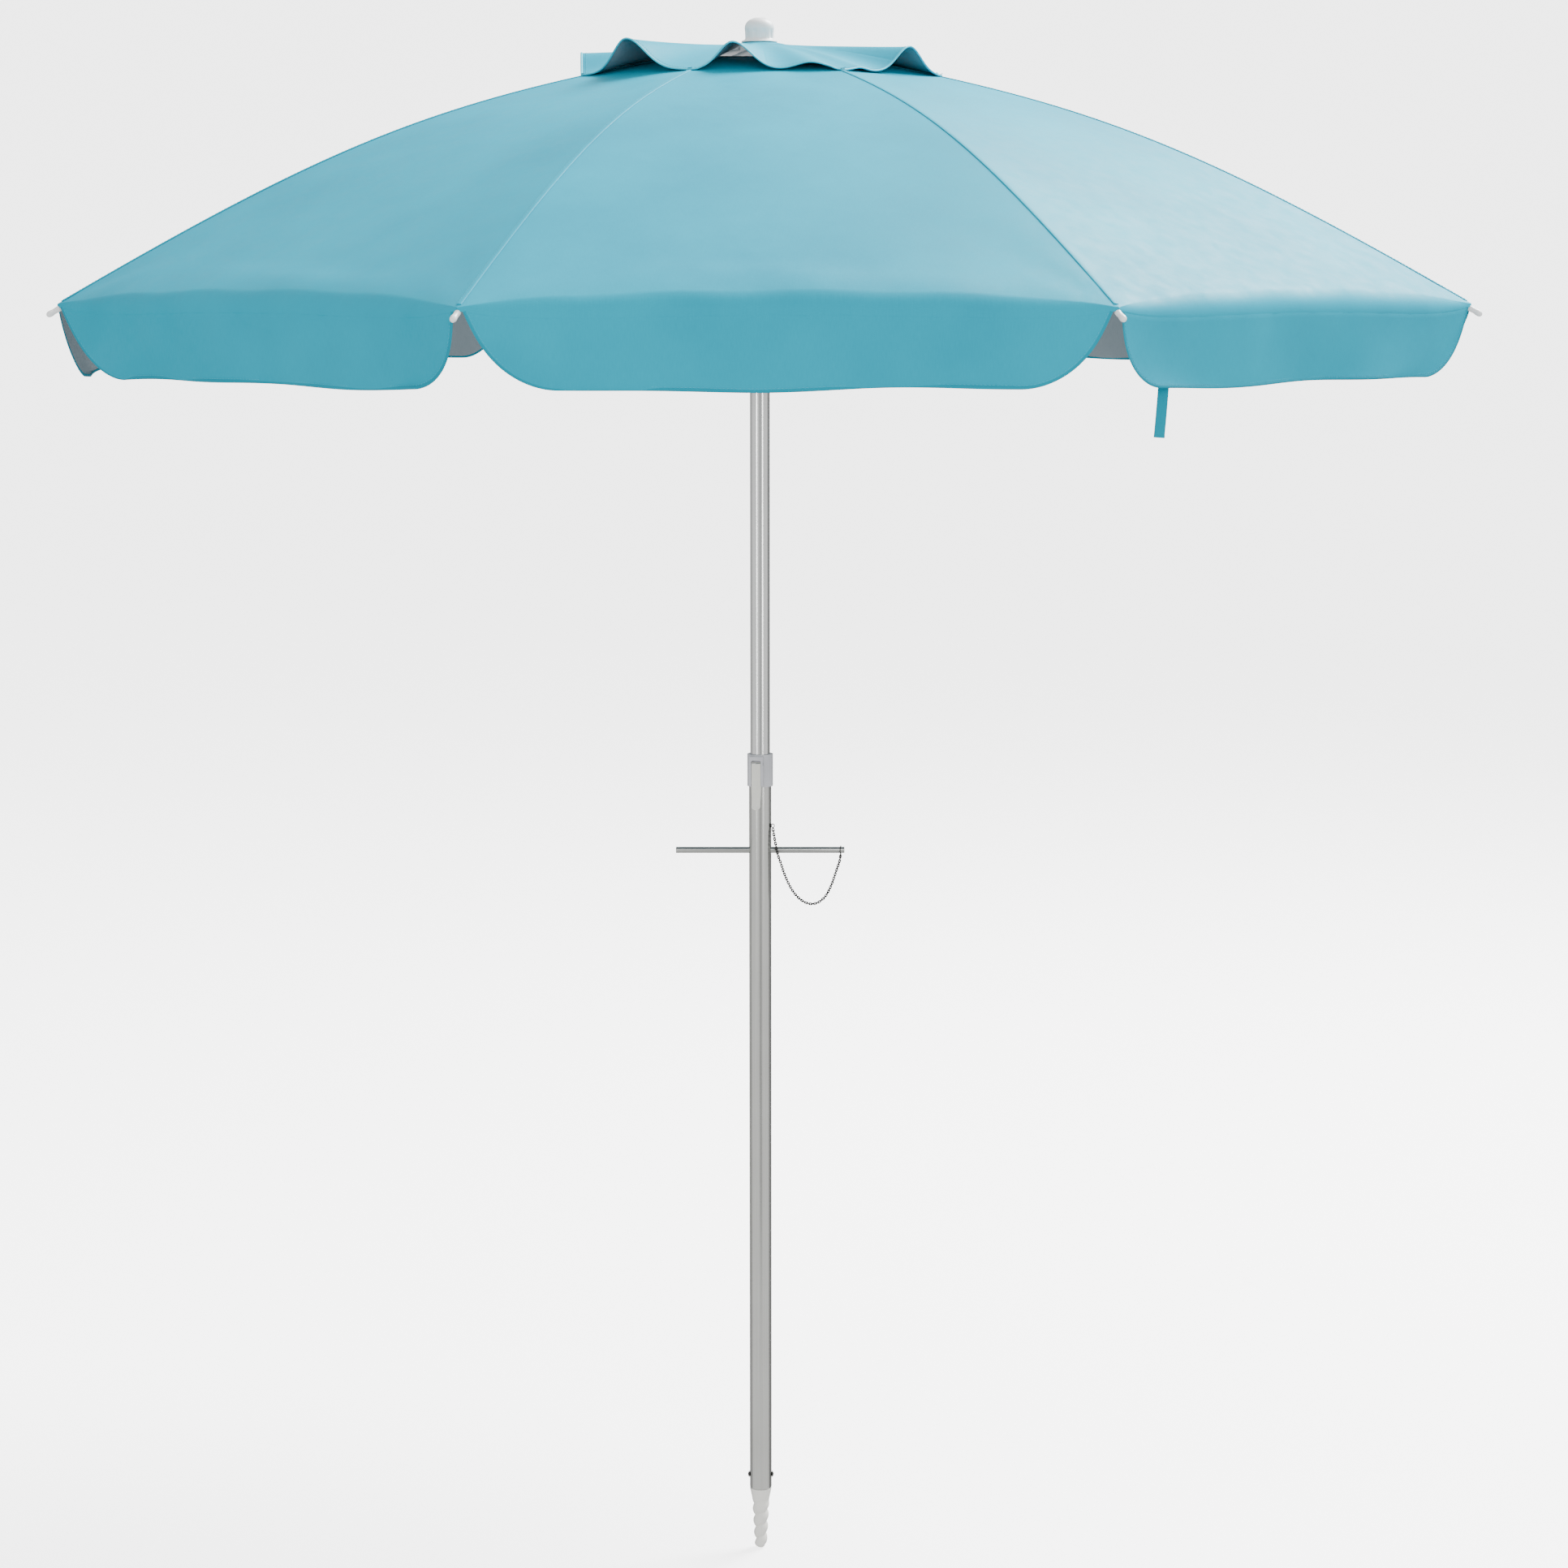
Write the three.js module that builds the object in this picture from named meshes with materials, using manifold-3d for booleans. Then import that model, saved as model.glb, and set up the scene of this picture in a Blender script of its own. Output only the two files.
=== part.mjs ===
// Beach umbrella. A two-part aluminium pole stands on a corkscrew sand anchor. A flip-lever clamp
// holds the upper pole, and a tilt joint joins it to the mast. Eight ribs hang in a crown on the mast
// and are held open by stretchers from a sliding runner. Eight canopy gores, eight valance flaps and
// a raised vent top are sewn to the ribs.
// Millimetres, +Z up. The origin is the tip of the sand anchor, on the pole's axis.

import * as THREE from 'three';
import { mergeVertices } from 'three/addons/utils/BufferGeometryUtils.js';
import Module from 'manifold-3d';

const wasm = await Module();
wasm.setup();

// ---- Driving dimensions ----

const CLEARANCE = 0.3;

// Ribs and canopy. Heights of the canopy profile are above the level of the rib tips.
const RIB_COUNT = 8;
const FIRST_RIB_AZIMUTH = THREE.MathUtils.degToRad(25);
const TIP_LEVEL = 1808;
const PROFILE = [[20, 356], [450, 278], [585, 232], [997, 0]];
const CANOPY_RADIUS = 990;
const CANOPY_HOLE_RADIUS = 150;
const FABRIC_THICKNESS = 2;
const RIM_LIFT = 12;
const RIB_RADIUS = 2.4;
const RIB_DROP = 7.3;
const STRETCHER_RIB_RADIUS = 430;
const STRETCHER_JOINT_DROP = 6.5;
const STRETCHER_RADIUS = 2.2;
const STRETCHER_TAB_THICKNESS = 1.6;
const TIP_CAP_RADIUS = 4.1;

// Valance flaps and the closing strap.
const FLAP_HEIGHT = 98;
const FLAP_TOP_INSET = 7;
const FLAP_SIDE_SLOPE = 34;
const FLAP_CORNER_INSET = 42;
const STRAP_SIZE = [1.5, 13, 143];
const STRAP_GORE = 7;
const STRAP_ALONG_RIM = -283;
const STRAP_BEHIND_FLAP = 9;
const STRAP_DROP = 4;
const STRAP_LEAN = THREE.MathUtils.degToRad(-5.8);

// Vent top.
const VENT_RADIUS = 265;
const VENT_LIFT = 45;

// Pole.
const POLE_SIDES = 24;
const LOWER_POLE_RADIUS = 16;
const UPPER_POLE_RADIUS = 14;
const LOWER_WALL = 1;
const UPPER_WALL = 1.3;
const POLE_FOOT = 92;
const LOWER_POLE_TOP = 1174;
const UPPER_POLE_TOP = 1744;

// Sand anchor.
const ANCHOR_TOP = 88;
const ANCHOR_SHOULDER = 68;
const ANCHOR_PITCH = 18;
const ANCHOR_TIP_RADIUS = 6.6;
const ANCHOR_ROOT_RADIUS = 10.6;
const ANCHOR_OFFSET = 1.7;
const ANCHOR_BOLT_HEIGHT = 112;
const ANCHOR_BOLT_RADIUS = 3;
const ANCHOR_PLUG_HEIGHT = 56;

// Turning bar and its chain.
const BAR_HEIGHT = 1039;
const BAR_RADIUS = 4.5;
const BAR_LENGTH = 241;
const BAR_RING_HOLE = 115;
const CHAIN_DIAMETER = 3.5;
const EYELET_HEIGHT = 1075;
const EYELET_SHANK_RADIUS = 1.3;
const EYELET_AZIMUTH = THREE.MathUtils.degToRad(-20);
const CHAIN_ROUTE = [
  [18.3, -6.8, 1070.6], [19.8, -8.0, 1061], [21.8, -8.8, 1050], [24.5, -9.2, 1036], [29.7, -8.8, 1020.3],
  [34.9, -8.0, 1004.7], [40.7, -7.2, 991.1], [47.3, -6.4, 979.4], [55.8, -5.5, 969.6], [64.4, -4.6, 963.7],
  [73.9, -3.8, 961.2], [83.4, -3.0, 963.7], [91.9, -2.3, 970.5], [97.6, -1.8, 979.4], [102.4, -1.3, 990.1],
  [106.2, -0.9, 1000.9], [110.0, -0.5, 1012.5], [113.3, -0.2, 1022.2], [114.8, 0, 1031],
];

// Clamp collar and its lever.
const COLLAR_RADIUS = 18.3;
const COLLAR_BOTTOM = 1132;
const COLLAR_TOP = 1178;
const CLAMP_TURN = THREE.MathUtils.degToRad(-15);
const LEVER_PIN_RADIUS = 1.8;
const LEVER_PIN_HEIGHT = 1166;
const LEVER_PIN_DEPTH = 20.8;
const LEVER_BOTTOM = 1100;
const LEVER_THICKNESS = 4.4;
const LEVER_TOP_WIDTH = 14;
const LEVER_BOTTOM_WIDTH = 11;

// Tilt joint.
const TILT_HEIGHT = 1770;
const TILT_DISC_RADIUS = 12;
const TILT_PIN_RADIUS = 2.5;
const TONGUE_THICKNESS = 9.4;
const MAST_BOTTOM = TILT_HEIGHT + 26;
const MAST_TOP = 2148;
const TILT_BUTTON_HEIGHT = 1722;
const TILT_BUTTON_RADIUS = 3.4;

// Crown, finial and runner.
const CROWN_TOP = 2168;
const CROWN_RADIUS = 31;
const CROWN_SLOT_FLOOR = 14.5;
const RIB_PIVOT_RADIUS = 20;
const SLOT_WIDTH = 6;
const FINIAL_BASE = 2171;
const FINIAL_TOP = 2204.6;
const RUNNER_PIVOT_RADIUS = 22;
const RUNNER_PIVOT_HEIGHT = 1938;
const RUNNER_BORE = 15.2;
const RUNNER_BOTTOM = 1868;
const RUNNER_SLEEVE_RADIUS = 17.6;
const RUNNER_GRIP_RADIUS = 19;
const RUNNER_FLANGE_RADIUS = 28;
const RUNNER_BUTTON_HEIGHT = 1894;
const RUNNER_BUTTON_RADIUS = 4;

const GORE_ANGLE = (2 * Math.PI) / RIB_COUNT;
const HALF_GORE = GORE_ANGLE / 2;
const RIB_PIVOT_HEIGHT = TIP_LEVEL + PROFILE[0][1] - RIB_DROP;
const RIM_MIDDLE_RADIUS = CANOPY_RADIUS * Math.cos(HALF_GORE);

// ---- Materials ----

function finish(color, roughness, metalness) {
  return new THREE.MeshStandardMaterial({ color, roughness, metalness });
}

const ALUMINIUM = finish(0xb9bcbb, 0.32, 1);
const STEEL = finish(0x8f9294, 0.35, 1);
const FIBREGLASS = finish(0xe8eaea, 0.4, 0);
const TURQUOISE = finish(0x12b2cb, 0.75, 0);
const WHITE_PLASTIC = finish(0xf0f0ee, 0.45, 0);
const GREY_PLASTIC = finish(0xc3c5ca, 0.45, 0);
const CREAM_PLASTIC = finish(0xe0e0dc, 0.45, 0);

// ---- Shape tools ----

// Turns a closed geometry into a solid whose faces point out.
function solid(geometry) {
  geometry.deleteAttribute('normal');
  geometry.deleteAttribute('uv');
  const merged = mergeVertices(geometry, 1e-4);
  const vertices = Float32Array.from(merged.getAttribute('position').array);
  const corners = merged.index.array;
  const corner = (index) => new THREE.Vector3().fromArray(vertices, 3 * index);
  const triangles = [];
  let volume = 0;
  for (let i = 0; i < corners.length; i += 3) {
    const [a, b, c] = [corners[i], corners[i + 1], corners[i + 2]];
    if (a !== b && b !== c && c !== a) {
      triangles.push(a, b, c);
      volume += corner(a).dot(corner(b).cross(corner(c)));
    }
  }
  if (volume < 0) triangles.reverse();
  const mesh = new wasm.Mesh({ numProp: 3, vertProperties: vertices, triVerts: Uint32Array.from(triangles) });
  return new wasm.Manifold(mesh);
}

const turnedAboutZ = (shape, angle) => shape.rotate([0, 0, THREE.MathUtils.radToDeg(angle)]);
const join = (first, ...others) => others.reduce((whole, piece) => whole.add(piece), first);
const cut = (first, ...others) => others.reduce((whole, piece) => whole.subtract(piece), first);

// A body of revolution about +Z from a profile of [radius, height] points.
function turned(profile, sides = POLE_SIDES) {
  const points = profile.map(([radius, height]) => new THREE.Vector2(radius, height));
  return solid(new THREE.LatheGeometry(points, sides).rotateX(Math.PI / 2));
}

function tube(inner, outer, low, high, sides = POLE_SIDES) {
  return turned([[inner, low], [outer, low], [outer, high], [inner, high], [inner, low]], sides);
}

function disc(radius, low, high, sides = POLE_SIDES) {
  return turned([[0, low], [radius, low], [radius, high], [0, high]], sides);
}

function block(width, depth, height, x, y, z) {
  return solid(new THREE.BoxGeometry(width, depth, height).translate(x, y, z));
}

// A round bar along X or Y, centred on the given point.
function rodX(radius, length, x, y, z, sides = 12) {
  const rod = new THREE.CylinderGeometry(radius, radius, length, sides).rotateZ(Math.PI / 2);
  return solid(rod.translate(x, y, z));
}

function rodY(radius, length, x, y, z, sides = 12) {
  const rod = new THREE.CylinderGeometry(radius, radius, length, sides);
  return solid(rod.translate(x, y, z));
}

// A round section of the given radius swept along a curve.
function sweptRound(curve, radius, steps, sides) {
  const section = new THREE.Shape();
  section.absarc(0, 0, radius, 0, 2 * Math.PI);
  const options = { steps, curveSegments: sides / 2, bevelEnabled: false, extrudePath: curve };
  return solid(new THREE.ExtrudeGeometry(section, options));
}

// A thin closed sheet. place gives a point for across in -1…1, down in 0…1 and depth 0 (face) or 1 (back).
function sheet(acrossSteps, downSteps, place) {
  const grid = new THREE.BoxGeometry(2, 1, 1, acrossSteps, downSteps, 1);
  const points = grid.getAttribute('position');
  for (let i = 0; i < points.count; i += 1) {
    points.setXYZ(i, ...place(points.getX(i), 0.5 - points.getY(i), 0.5 - points.getZ(i)));
  }
  return solid(grid);
}

function toGeometry(shape) {
  const mesh = shape.getMesh();
  const geometry = new THREE.BufferGeometry();
  geometry.setAttribute('position', new THREE.BufferAttribute(mesh.vertProperties, 3));
  geometry.setIndex(new THREE.BufferAttribute(mesh.triVerts, 1));
  geometry.computeVertexNormals();
  return geometry;
}

// ---- Assembly ----

const umbrella = new THREE.Group();

function addPart(name, shape, material, parent = umbrella) {
  const mesh = new THREE.Mesh(toGeometry(shape), material.clone());
  mesh.name = name;
  parent.add(mesh);
}

// A group turned so that its +X points out along the given azimuth.
function turnedGroup(azimuth) {
  const group = new THREE.Group();
  group.rotation.z = azimuth;
  umbrella.add(group);
  return group;
}

// ---- Canopy profile ----

const profileCurve = new THREE.CubicBezierCurve(...PROFILE.map((point) => new THREE.Vector2(...point)));

// Height above the rib tips of the canopy over a rib at the given radius.
function canopyHeight(radius) {
  let low = 0;
  let high = 1;
  for (let i = 0; i < 40; i += 1) {
    const middle = (low + high) / 2;
    if (profileCurve.getPoint(middle).x < radius) low = middle;
    else high = middle;
  }
  return profileCurve.getPoint(low).y;
}

// ---- Pole and sand anchor ----

function makeLowerPole() {
  const wall = tube(LOWER_POLE_RADIUS - LOWER_WALL, LOWER_POLE_RADIUS, POLE_FOOT + CLEARANCE, LOWER_POLE_TOP);
  const reach = 3 * LOWER_POLE_RADIUS;
  const eyeletHole = rodX(EYELET_SHANK_RADIUS + CLEARANCE, reach, reach / 2, 0, EYELET_HEIGHT);
  return cut(
    wall,
    rodX(BAR_RADIUS + CLEARANCE, reach, 0, 0, BAR_HEIGHT, 16),
    rodX(ANCHOR_BOLT_RADIUS + CLEARANCE, reach, 0, 0, ANCHOR_BOLT_HEIGHT),
    turnedAboutZ(eyeletHole, EYELET_AZIMUTH),
  );
}

// The corkscrew is a stack of round sections whose centres wind round the axis. It widens to the pole
// near its top, and a plug on it fills the pole's foot.
function makeSandAnchor() {
  const screw = new THREE.CylinderGeometry(1, 1, 1, 12, 32).rotateX(Math.PI / 2);
  const points = screw.getAttribute('position');
  for (let i = 0; i < points.count; i += 1) {
    const height = ANCHOR_TOP * (points.getZ(i) + 0.5);
    const shoulder = THREE.MathUtils.smoothstep(height, ANCHOR_SHOULDER, ANCHOR_TOP);
    const tip = Math.min(1, 0.35 + height / 7);
    const core = THREE.MathUtils.lerp(ANCHOR_TIP_RADIUS, ANCHOR_ROOT_RADIUS, height / ANCHOR_TOP);
    const radius = THREE.MathUtils.lerp(core * Math.sin((Math.PI / 2) * tip), LOWER_POLE_RADIUS, shoulder);
    const offset = ANCHOR_OFFSET * (1 - shoulder);
    const angle = (2 * Math.PI * (height - ANCHOR_SHOULDER)) / ANCHOR_PITCH;
    const x = points.getX(i) * radius + offset * Math.cos(angle);
    const y = points.getY(i) * radius + offset * Math.sin(angle);
    points.setXYZ(i, x, y, height);
  }
  const plugRadius = LOWER_POLE_RADIUS - LOWER_WALL - CLEARANCE;
  const whole = join(
    solid(screw),
    disc(LOWER_POLE_RADIUS, ANCHOR_TOP - 2, POLE_FOOT),
    disc(plugRadius, ANCHOR_TOP - 4, POLE_FOOT + ANCHOR_PLUG_HEIGHT),
  );
  return cut(whole, rodX(ANCHOR_BOLT_RADIUS + CLEARANCE, 60, 0, 0, ANCHOR_BOLT_HEIGHT));
}

// A through rivet with a low domed head on each side.
function makeAnchorBolt() {
  const inner = LOWER_POLE_RADIUS + CLEARANCE;
  const dome = [[0, inner], [5, inner], [4.6, inner + 1.2], [3, inner + 2.2], [0, inner + 2.6]];
  const right = turned(dome, 14).rotate([0, 90, 0]).translate([0, 0, ANCHOR_BOLT_HEIGHT]);
  const left = turned(dome, 14).rotate([0, -90, 0]).translate([0, 0, ANCHOR_BOLT_HEIGHT]);
  return join(rodX(ANCHOR_BOLT_RADIUS, 2 * inner + 0.4, 0, 0, ANCHOR_BOLT_HEIGHT), right, left);
}

function makeTurningBar() {
  const ringHole = disc(1.7, BAR_HEIGHT - 10, BAR_HEIGHT + 10, 12).translate([BAR_RING_HOLE, 0, 0]);
  return cut(rodX(BAR_RADIUS, BAR_LENGTH, 0, 0, BAR_HEIGHT, 16), ringHole);
}

function makeChain() {
  const route = new THREE.CatmullRomCurve3(CHAIN_ROUTE.map((point) => new THREE.Vector3(...point)));
  return sweptRound(route, CHAIN_DIAMETER / 2, 30, 8);
}

// A wire eye whose shank is riveted in the pole's wall.
function makeEyelet() {
  const eyeRadius = 2.4;
  const eye = new THREE.TorusGeometry(eyeRadius, 0.7, 5, 10).rotateX(Math.PI / 2);
  const centre = LOWER_POLE_RADIUS + 3.2;
  const shank = rodX(EYELET_SHANK_RADIUS, 2.6, LOWER_POLE_RADIUS + 0.4, 0, 0);
  const washer = rodX(2.6, 0.6, LOWER_POLE_RADIUS + 0.6, 0, 0);
  const whole = join(solid(eye.translate(centre, 0, 0)), shank, washer);
  return turnedAboutZ(whole.translate([0, 0, EYELET_HEIGHT]), EYELET_AZIMUTH);
}

addPart('lower_pole', makeLowerPole(), ALUMINIUM);
addPart('sand_anchor', makeSandAnchor(), CREAM_PLASTIC);
addPart('anchor_bolt', makeAnchorBolt(), STEEL);
addPart('turning_bar', makeTurningBar(), STEEL);
addPart('chain', makeChain(), STEEL);
addPart('chain_eyelet', makeEyelet(), STEEL);

// ---- Clamp ----

// A sleeve over the lower pole with a lip round the upper pole. Two ears on its front hold the lever.
function makeCollar() {
  const sleeveBore = LOWER_POLE_RADIUS + CLEARANCE;
  const lipBore = UPPER_POLE_RADIUS + CLEARANCE;
  const lipBottom = LOWER_POLE_TOP + CLEARANCE;
  const sleeve = turned([
    [sleeveBore, COLLAR_BOTTOM], [COLLAR_RADIUS, COLLAR_BOTTOM], [COLLAR_RADIUS, COLLAR_TOP],
    [lipBore, COLLAR_TOP], [lipBore, lipBottom], [sleeveBore, lipBottom], [sleeveBore, COLLAR_BOTTOM],
  ]);
  const earHeight = COLLAR_TOP - COLLAR_BOTTOM - 4;
  const ears = block(20, 7, earHeight, 0, -19.9, (COLLAR_TOP + COLLAR_BOTTOM) / 2);
  const channelTop = LEVER_PIN_HEIGHT + 4;
  const channelBottom = COLLAR_BOTTOM - 4;
  const channelWidth = LEVER_TOP_WIDTH + 2 * CLEARANCE;
  const channelMiddle = (channelTop + channelBottom) / 2;
  const channel = block(channelWidth, 12, channelTop - channelBottom, 0, -24.1, channelMiddle);
  const pinHole = rodX(LEVER_PIN_RADIUS + CLEARANCE, 30, 0, -LEVER_PIN_DEPTH, LEVER_PIN_HEIGHT);
  const bore = disc(sleeveBore, COLLAR_BOTTOM - 1, lipBottom);
  return cut(join(sleeve, ears), channel, pinHole, bore);
}

// A flat lever, round at its pin, narrower and kicked out a little at its bottom end.
function makeLever() {
  const half = LEVER_THICKNESS / 2;
  const side = new THREE.Shape();
  side.moveTo(half, LEVER_PIN_HEIGHT);
  side.absarc(0, LEVER_PIN_HEIGHT, half, 0, Math.PI);
  side.lineTo(-half, LEVER_BOTTOM + 14);
  side.lineTo(-half + 1.6, LEVER_BOTTOM);
  side.lineTo(half + 2.2, LEVER_BOTTOM + 1.5);
  side.lineTo(half, LEVER_BOTTOM + 16);
  const slab = new THREE.ExtrudeGeometry(side, { depth: 20, bevelEnabled: false, curveSegments: 8 });
  slab.rotateX(Math.PI / 2).rotateZ(-Math.PI / 2).translate(10, -LEVER_PIN_DEPTH, 0);
  const front = new THREE.Shape();
  front.moveTo(-LEVER_TOP_WIDTH / 2, LEVER_PIN_HEIGHT + 5);
  front.lineTo(-LEVER_TOP_WIDTH / 2, COLLAR_BOTTOM);
  front.lineTo(-LEVER_BOTTOM_WIDTH / 2, LEVER_BOTTOM + 4);
  front.quadraticCurveTo(0, LEVER_BOTTOM - 4, LEVER_BOTTOM_WIDTH / 2, LEVER_BOTTOM + 4);
  front.lineTo(LEVER_TOP_WIDTH / 2, COLLAR_BOTTOM);
  front.lineTo(LEVER_TOP_WIDTH / 2, LEVER_PIN_HEIGHT + 5);
  const face = new THREE.ExtrudeGeometry(front, { depth: 20, bevelEnabled: false, curveSegments: 6 });
  face.rotateX(Math.PI / 2).translate(0, -12, 0);
  const pinHole = rodX(LEVER_PIN_RADIUS + CLEARANCE, 30, 0, -LEVER_PIN_DEPTH, LEVER_PIN_HEIGHT);
  return cut(solid(slab).intersect(solid(face)), pinHole);
}

const clamp = turnedGroup(CLAMP_TURN);
addPart('lock_collar', makeCollar(), GREY_PLASTIC, clamp);
addPart('lock_lever', makeLever(), CREAM_PLASTIC, clamp);
const leverPin = rodX(LEVER_PIN_RADIUS, 19.6, 0, -LEVER_PIN_DEPTH, LEVER_PIN_HEIGHT);
addPart('lever_pin', leverPin, STEEL, clamp);

// ---- Upper pole and tilt joint ----

const POLE_BORE = UPPER_POLE_RADIUS - UPPER_WALL;
const PLUG_RADIUS = POLE_BORE - CLEARANCE;
const BUTTON_HOLE_RADIUS = TILT_BUTTON_RADIUS + CLEARANCE + 0.1;

// A plug in the upper pole with two round cheeks and their pivot pin.
function makeTiltSocket() {
  const shoulder = UPPER_POLE_TOP + CLEARANCE;
  const cheeks = join(
    disc(UPPER_POLE_RADIUS, shoulder, TILT_HEIGHT),
    rodY(TILT_DISC_RADIUS, 2 * UPPER_POLE_RADIUS, 0, 0, TILT_HEIGHT, 24).intersect(
      disc(UPPER_POLE_RADIUS, shoulder, TILT_HEIGHT + 20),
    ),
  );
  const slotBottom = TILT_HEIGHT - TILT_DISC_RADIUS - 1;
  const slotWidth = TONGUE_THICKNESS + 2 * CLEARANCE;
  const slot = block(40, slotWidth, 40, 0, 0, slotBottom + 20);
  const buttonPocket = rodY(BUTTON_HOLE_RADIUS, 14, 0, -PLUG_RADIUS + 1.4, TILT_BUTTON_HEIGHT);
  const plug = cut(disc(PLUG_RADIUS, UPPER_POLE_TOP - 44, shoulder + 1), buttonPocket);
  const pin = rodY(TILT_PIN_RADIUS, 2 * UPPER_POLE_RADIUS - 5, 0, 0, TILT_HEIGHT);
  return join(cut(cheeks, slot), plug, pin);
}

// A tongue between the cheeks, a shoulder under the mast and a plug inside it.
function makeTiltKnuckle() {
  const shoulderBottom = TILT_HEIGHT + TILT_DISC_RADIUS + 1;
  const shoulderTop = MAST_BOTTOM - CLEARANCE;
  const tongueRadius = TILT_DISC_RADIUS - 0.5;
  const neckHeight = shoulderBottom + 1 - TILT_HEIGHT;
  const tongue = join(
    rodY(tongueRadius, TONGUE_THICKNESS, 0, 0, TILT_HEIGHT, 24),
    block(2 * tongueRadius, TONGUE_THICKNESS, neckHeight, 0, 0, TILT_HEIGHT + neckHeight / 2),
  );
  const pinHole = rodY(TILT_PIN_RADIUS + CLEARANCE, 40, 0, 0, TILT_HEIGHT);
  return join(
    cut(tongue, pinHole),
    disc(UPPER_POLE_RADIUS, shoulderBottom, shoulderTop),
    disc(PLUG_RADIUS, shoulderTop - 1, MAST_BOTTOM + 40),
  );
}

// The upper pole has a hole where the sprung button looks out of it.
function makeUpperPole() {
  const bottom = BAR_HEIGHT + BAR_RADIUS + 0.5;
  const wall = tube(POLE_BORE, UPPER_POLE_RADIUS, bottom, UPPER_POLE_TOP);
  return cut(wall, rodY(BUTTON_HOLE_RADIUS, 12, 0, -UPPER_POLE_RADIUS, TILT_BUTTON_HEIGHT));
}

addPart('upper_pole', makeUpperPole(), ALUMINIUM);
addPart('tilt_socket', makeTiltSocket(), GREY_PLASTIC);
addPart('tilt_knuckle', makeTiltKnuckle(), GREY_PLASTIC);
const tiltButton = rodY(TILT_BUTTON_RADIUS, 6.4, 0, -UPPER_POLE_RADIUS + 2.5, TILT_BUTTON_HEIGHT);
addPart('tilt_button', tiltButton, CREAM_PLASTIC);
addPart('mast_tube', tube(POLE_BORE, UPPER_POLE_RADIUS, MAST_BOTTOM, MAST_TOP), ALUMINIUM);

// ---- Crown, finial and runner ----

// Cuts one open slot for each rib, from the inner radius outwards.
function slotCutters(inner, low, high) {
  const slot = block(60, SLOT_WIDTH, high - low, inner + 30, 0, (low + high) / 2);
  const azimuths = Array.from({ length: RIB_COUNT }, (_, index) => FIRST_RIB_AZIMUTH + index * GORE_ANGLE);
  return azimuths.map((azimuth) => turnedAboutZ(slot, azimuth));
}

function makeCrown() {
  const discBottom = MAST_TOP + CLEARANCE;
  const plug = disc(PLUG_RADIUS, MAST_TOP - 38, discBottom + 1);
  const hub = join(disc(CROWN_RADIUS, discBottom, CROWN_TOP), plug);
  const finialHole = disc(5 + CLEARANCE, CROWN_TOP - 36, CROWN_TOP + 1, 16);
  return cut(hub, finialHole, ...slotCutters(CROWN_SLOT_FLOOR, discBottom - 1, CROWN_TOP + 1));
}

// A round cap with a flange at its foot, a small flat on top and a shank that holds it in the crown.
function makeFinial() {
  return turned([
    [0, CROWN_TOP - 34], [5, CROWN_TOP - 34], [5, FINIAL_BASE], [25, FINIAL_BASE], [25, FINIAL_BASE + 2.2],
    [20, FINIAL_BASE + 4], [19, FINIAL_BASE + 6], [20.4, FINIAL_BASE + 18], [18.6, FINIAL_BASE + 26],
    [13, FINIAL_TOP - 2], [8, FINIAL_TOP], [0, FINIAL_TOP],
  ], 18);
}

function makeRunner() {
  const flangeBottom = RUNNER_PIVOT_HEIGHT - 8;
  const flangeTop = RUNNER_PIVOT_HEIGHT + 8;
  const embedded = RUNNER_SLEEVE_RADIUS - 1.2;
  const sleeve = tube(RUNNER_BORE, RUNNER_SLEEVE_RADIUS, RUNNER_BOTTOM, flangeTop);
  const flange = cut(
    tube(embedded, RUNNER_FLANGE_RADIUS, flangeBottom, flangeTop),
    ...slotCutters(RUNNER_SLEEVE_RADIUS, flangeBottom - 1, flangeTop + 1),
  );
  const grip = tube(embedded, RUNNER_GRIP_RADIUS, RUNNER_BOTTOM, RUNNER_BOTTOM + 44);
  const buttonHole = rodY(RUNNER_BUTTON_RADIUS + CLEARANCE, 16, 0, -20, RUNNER_BUTTON_HEIGHT);
  return cut(join(sleeve, flange, grip), buttonHole);
}

addPart('crown', makeCrown(), WHITE_PLASTIC);
addPart('finial', makeFinial(), WHITE_PLASTIC);
addPart('runner', makeRunner(), WHITE_PLASTIC);
addPart('runner_button', rodY(RUNNER_BUTTON_RADIUS, 5.4, 0, -20.4, RUNNER_BUTTON_HEIGHT), CREAM_PLASTIC);

// ---- Ribs, stretchers and tip caps, each along its own +X ----

const ribHeightAtJoint = TIP_LEVEL + canopyHeight(STRETCHER_RIB_RADIUS) - RIB_DROP;
const jointHeight = ribHeightAtJoint - STRETCHER_JOINT_DROP;

// A springy rod under the canopy with an eye in the crown and a tab for its stretcher.
function makeRib() {
  const rodLevel = TIP_LEVEL - RIB_DROP;
  const knots = PROFILE.map(([radius, height]) => new THREE.Vector3(radius, 0, rodLevel + height));
  const rod = sweptRound(new THREE.CubicBezierCurve3(...knots), RIB_RADIUS, 10, 6);
  const eye = rodY(4, 4, RIB_PIVOT_RADIUS, 0, RIB_PIVOT_HEIGHT, 8);
  const tabHeight = STRETCHER_JOINT_DROP + RIB_RADIUS;
  const tabMiddle = ribHeightAtJoint - tabHeight / 2;
  const tab = block(7, STRETCHER_TAB_THICKNESS, tabHeight, STRETCHER_RIB_RADIUS, 0, tabMiddle);
  return join(rod, eye, tab);
}

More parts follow.
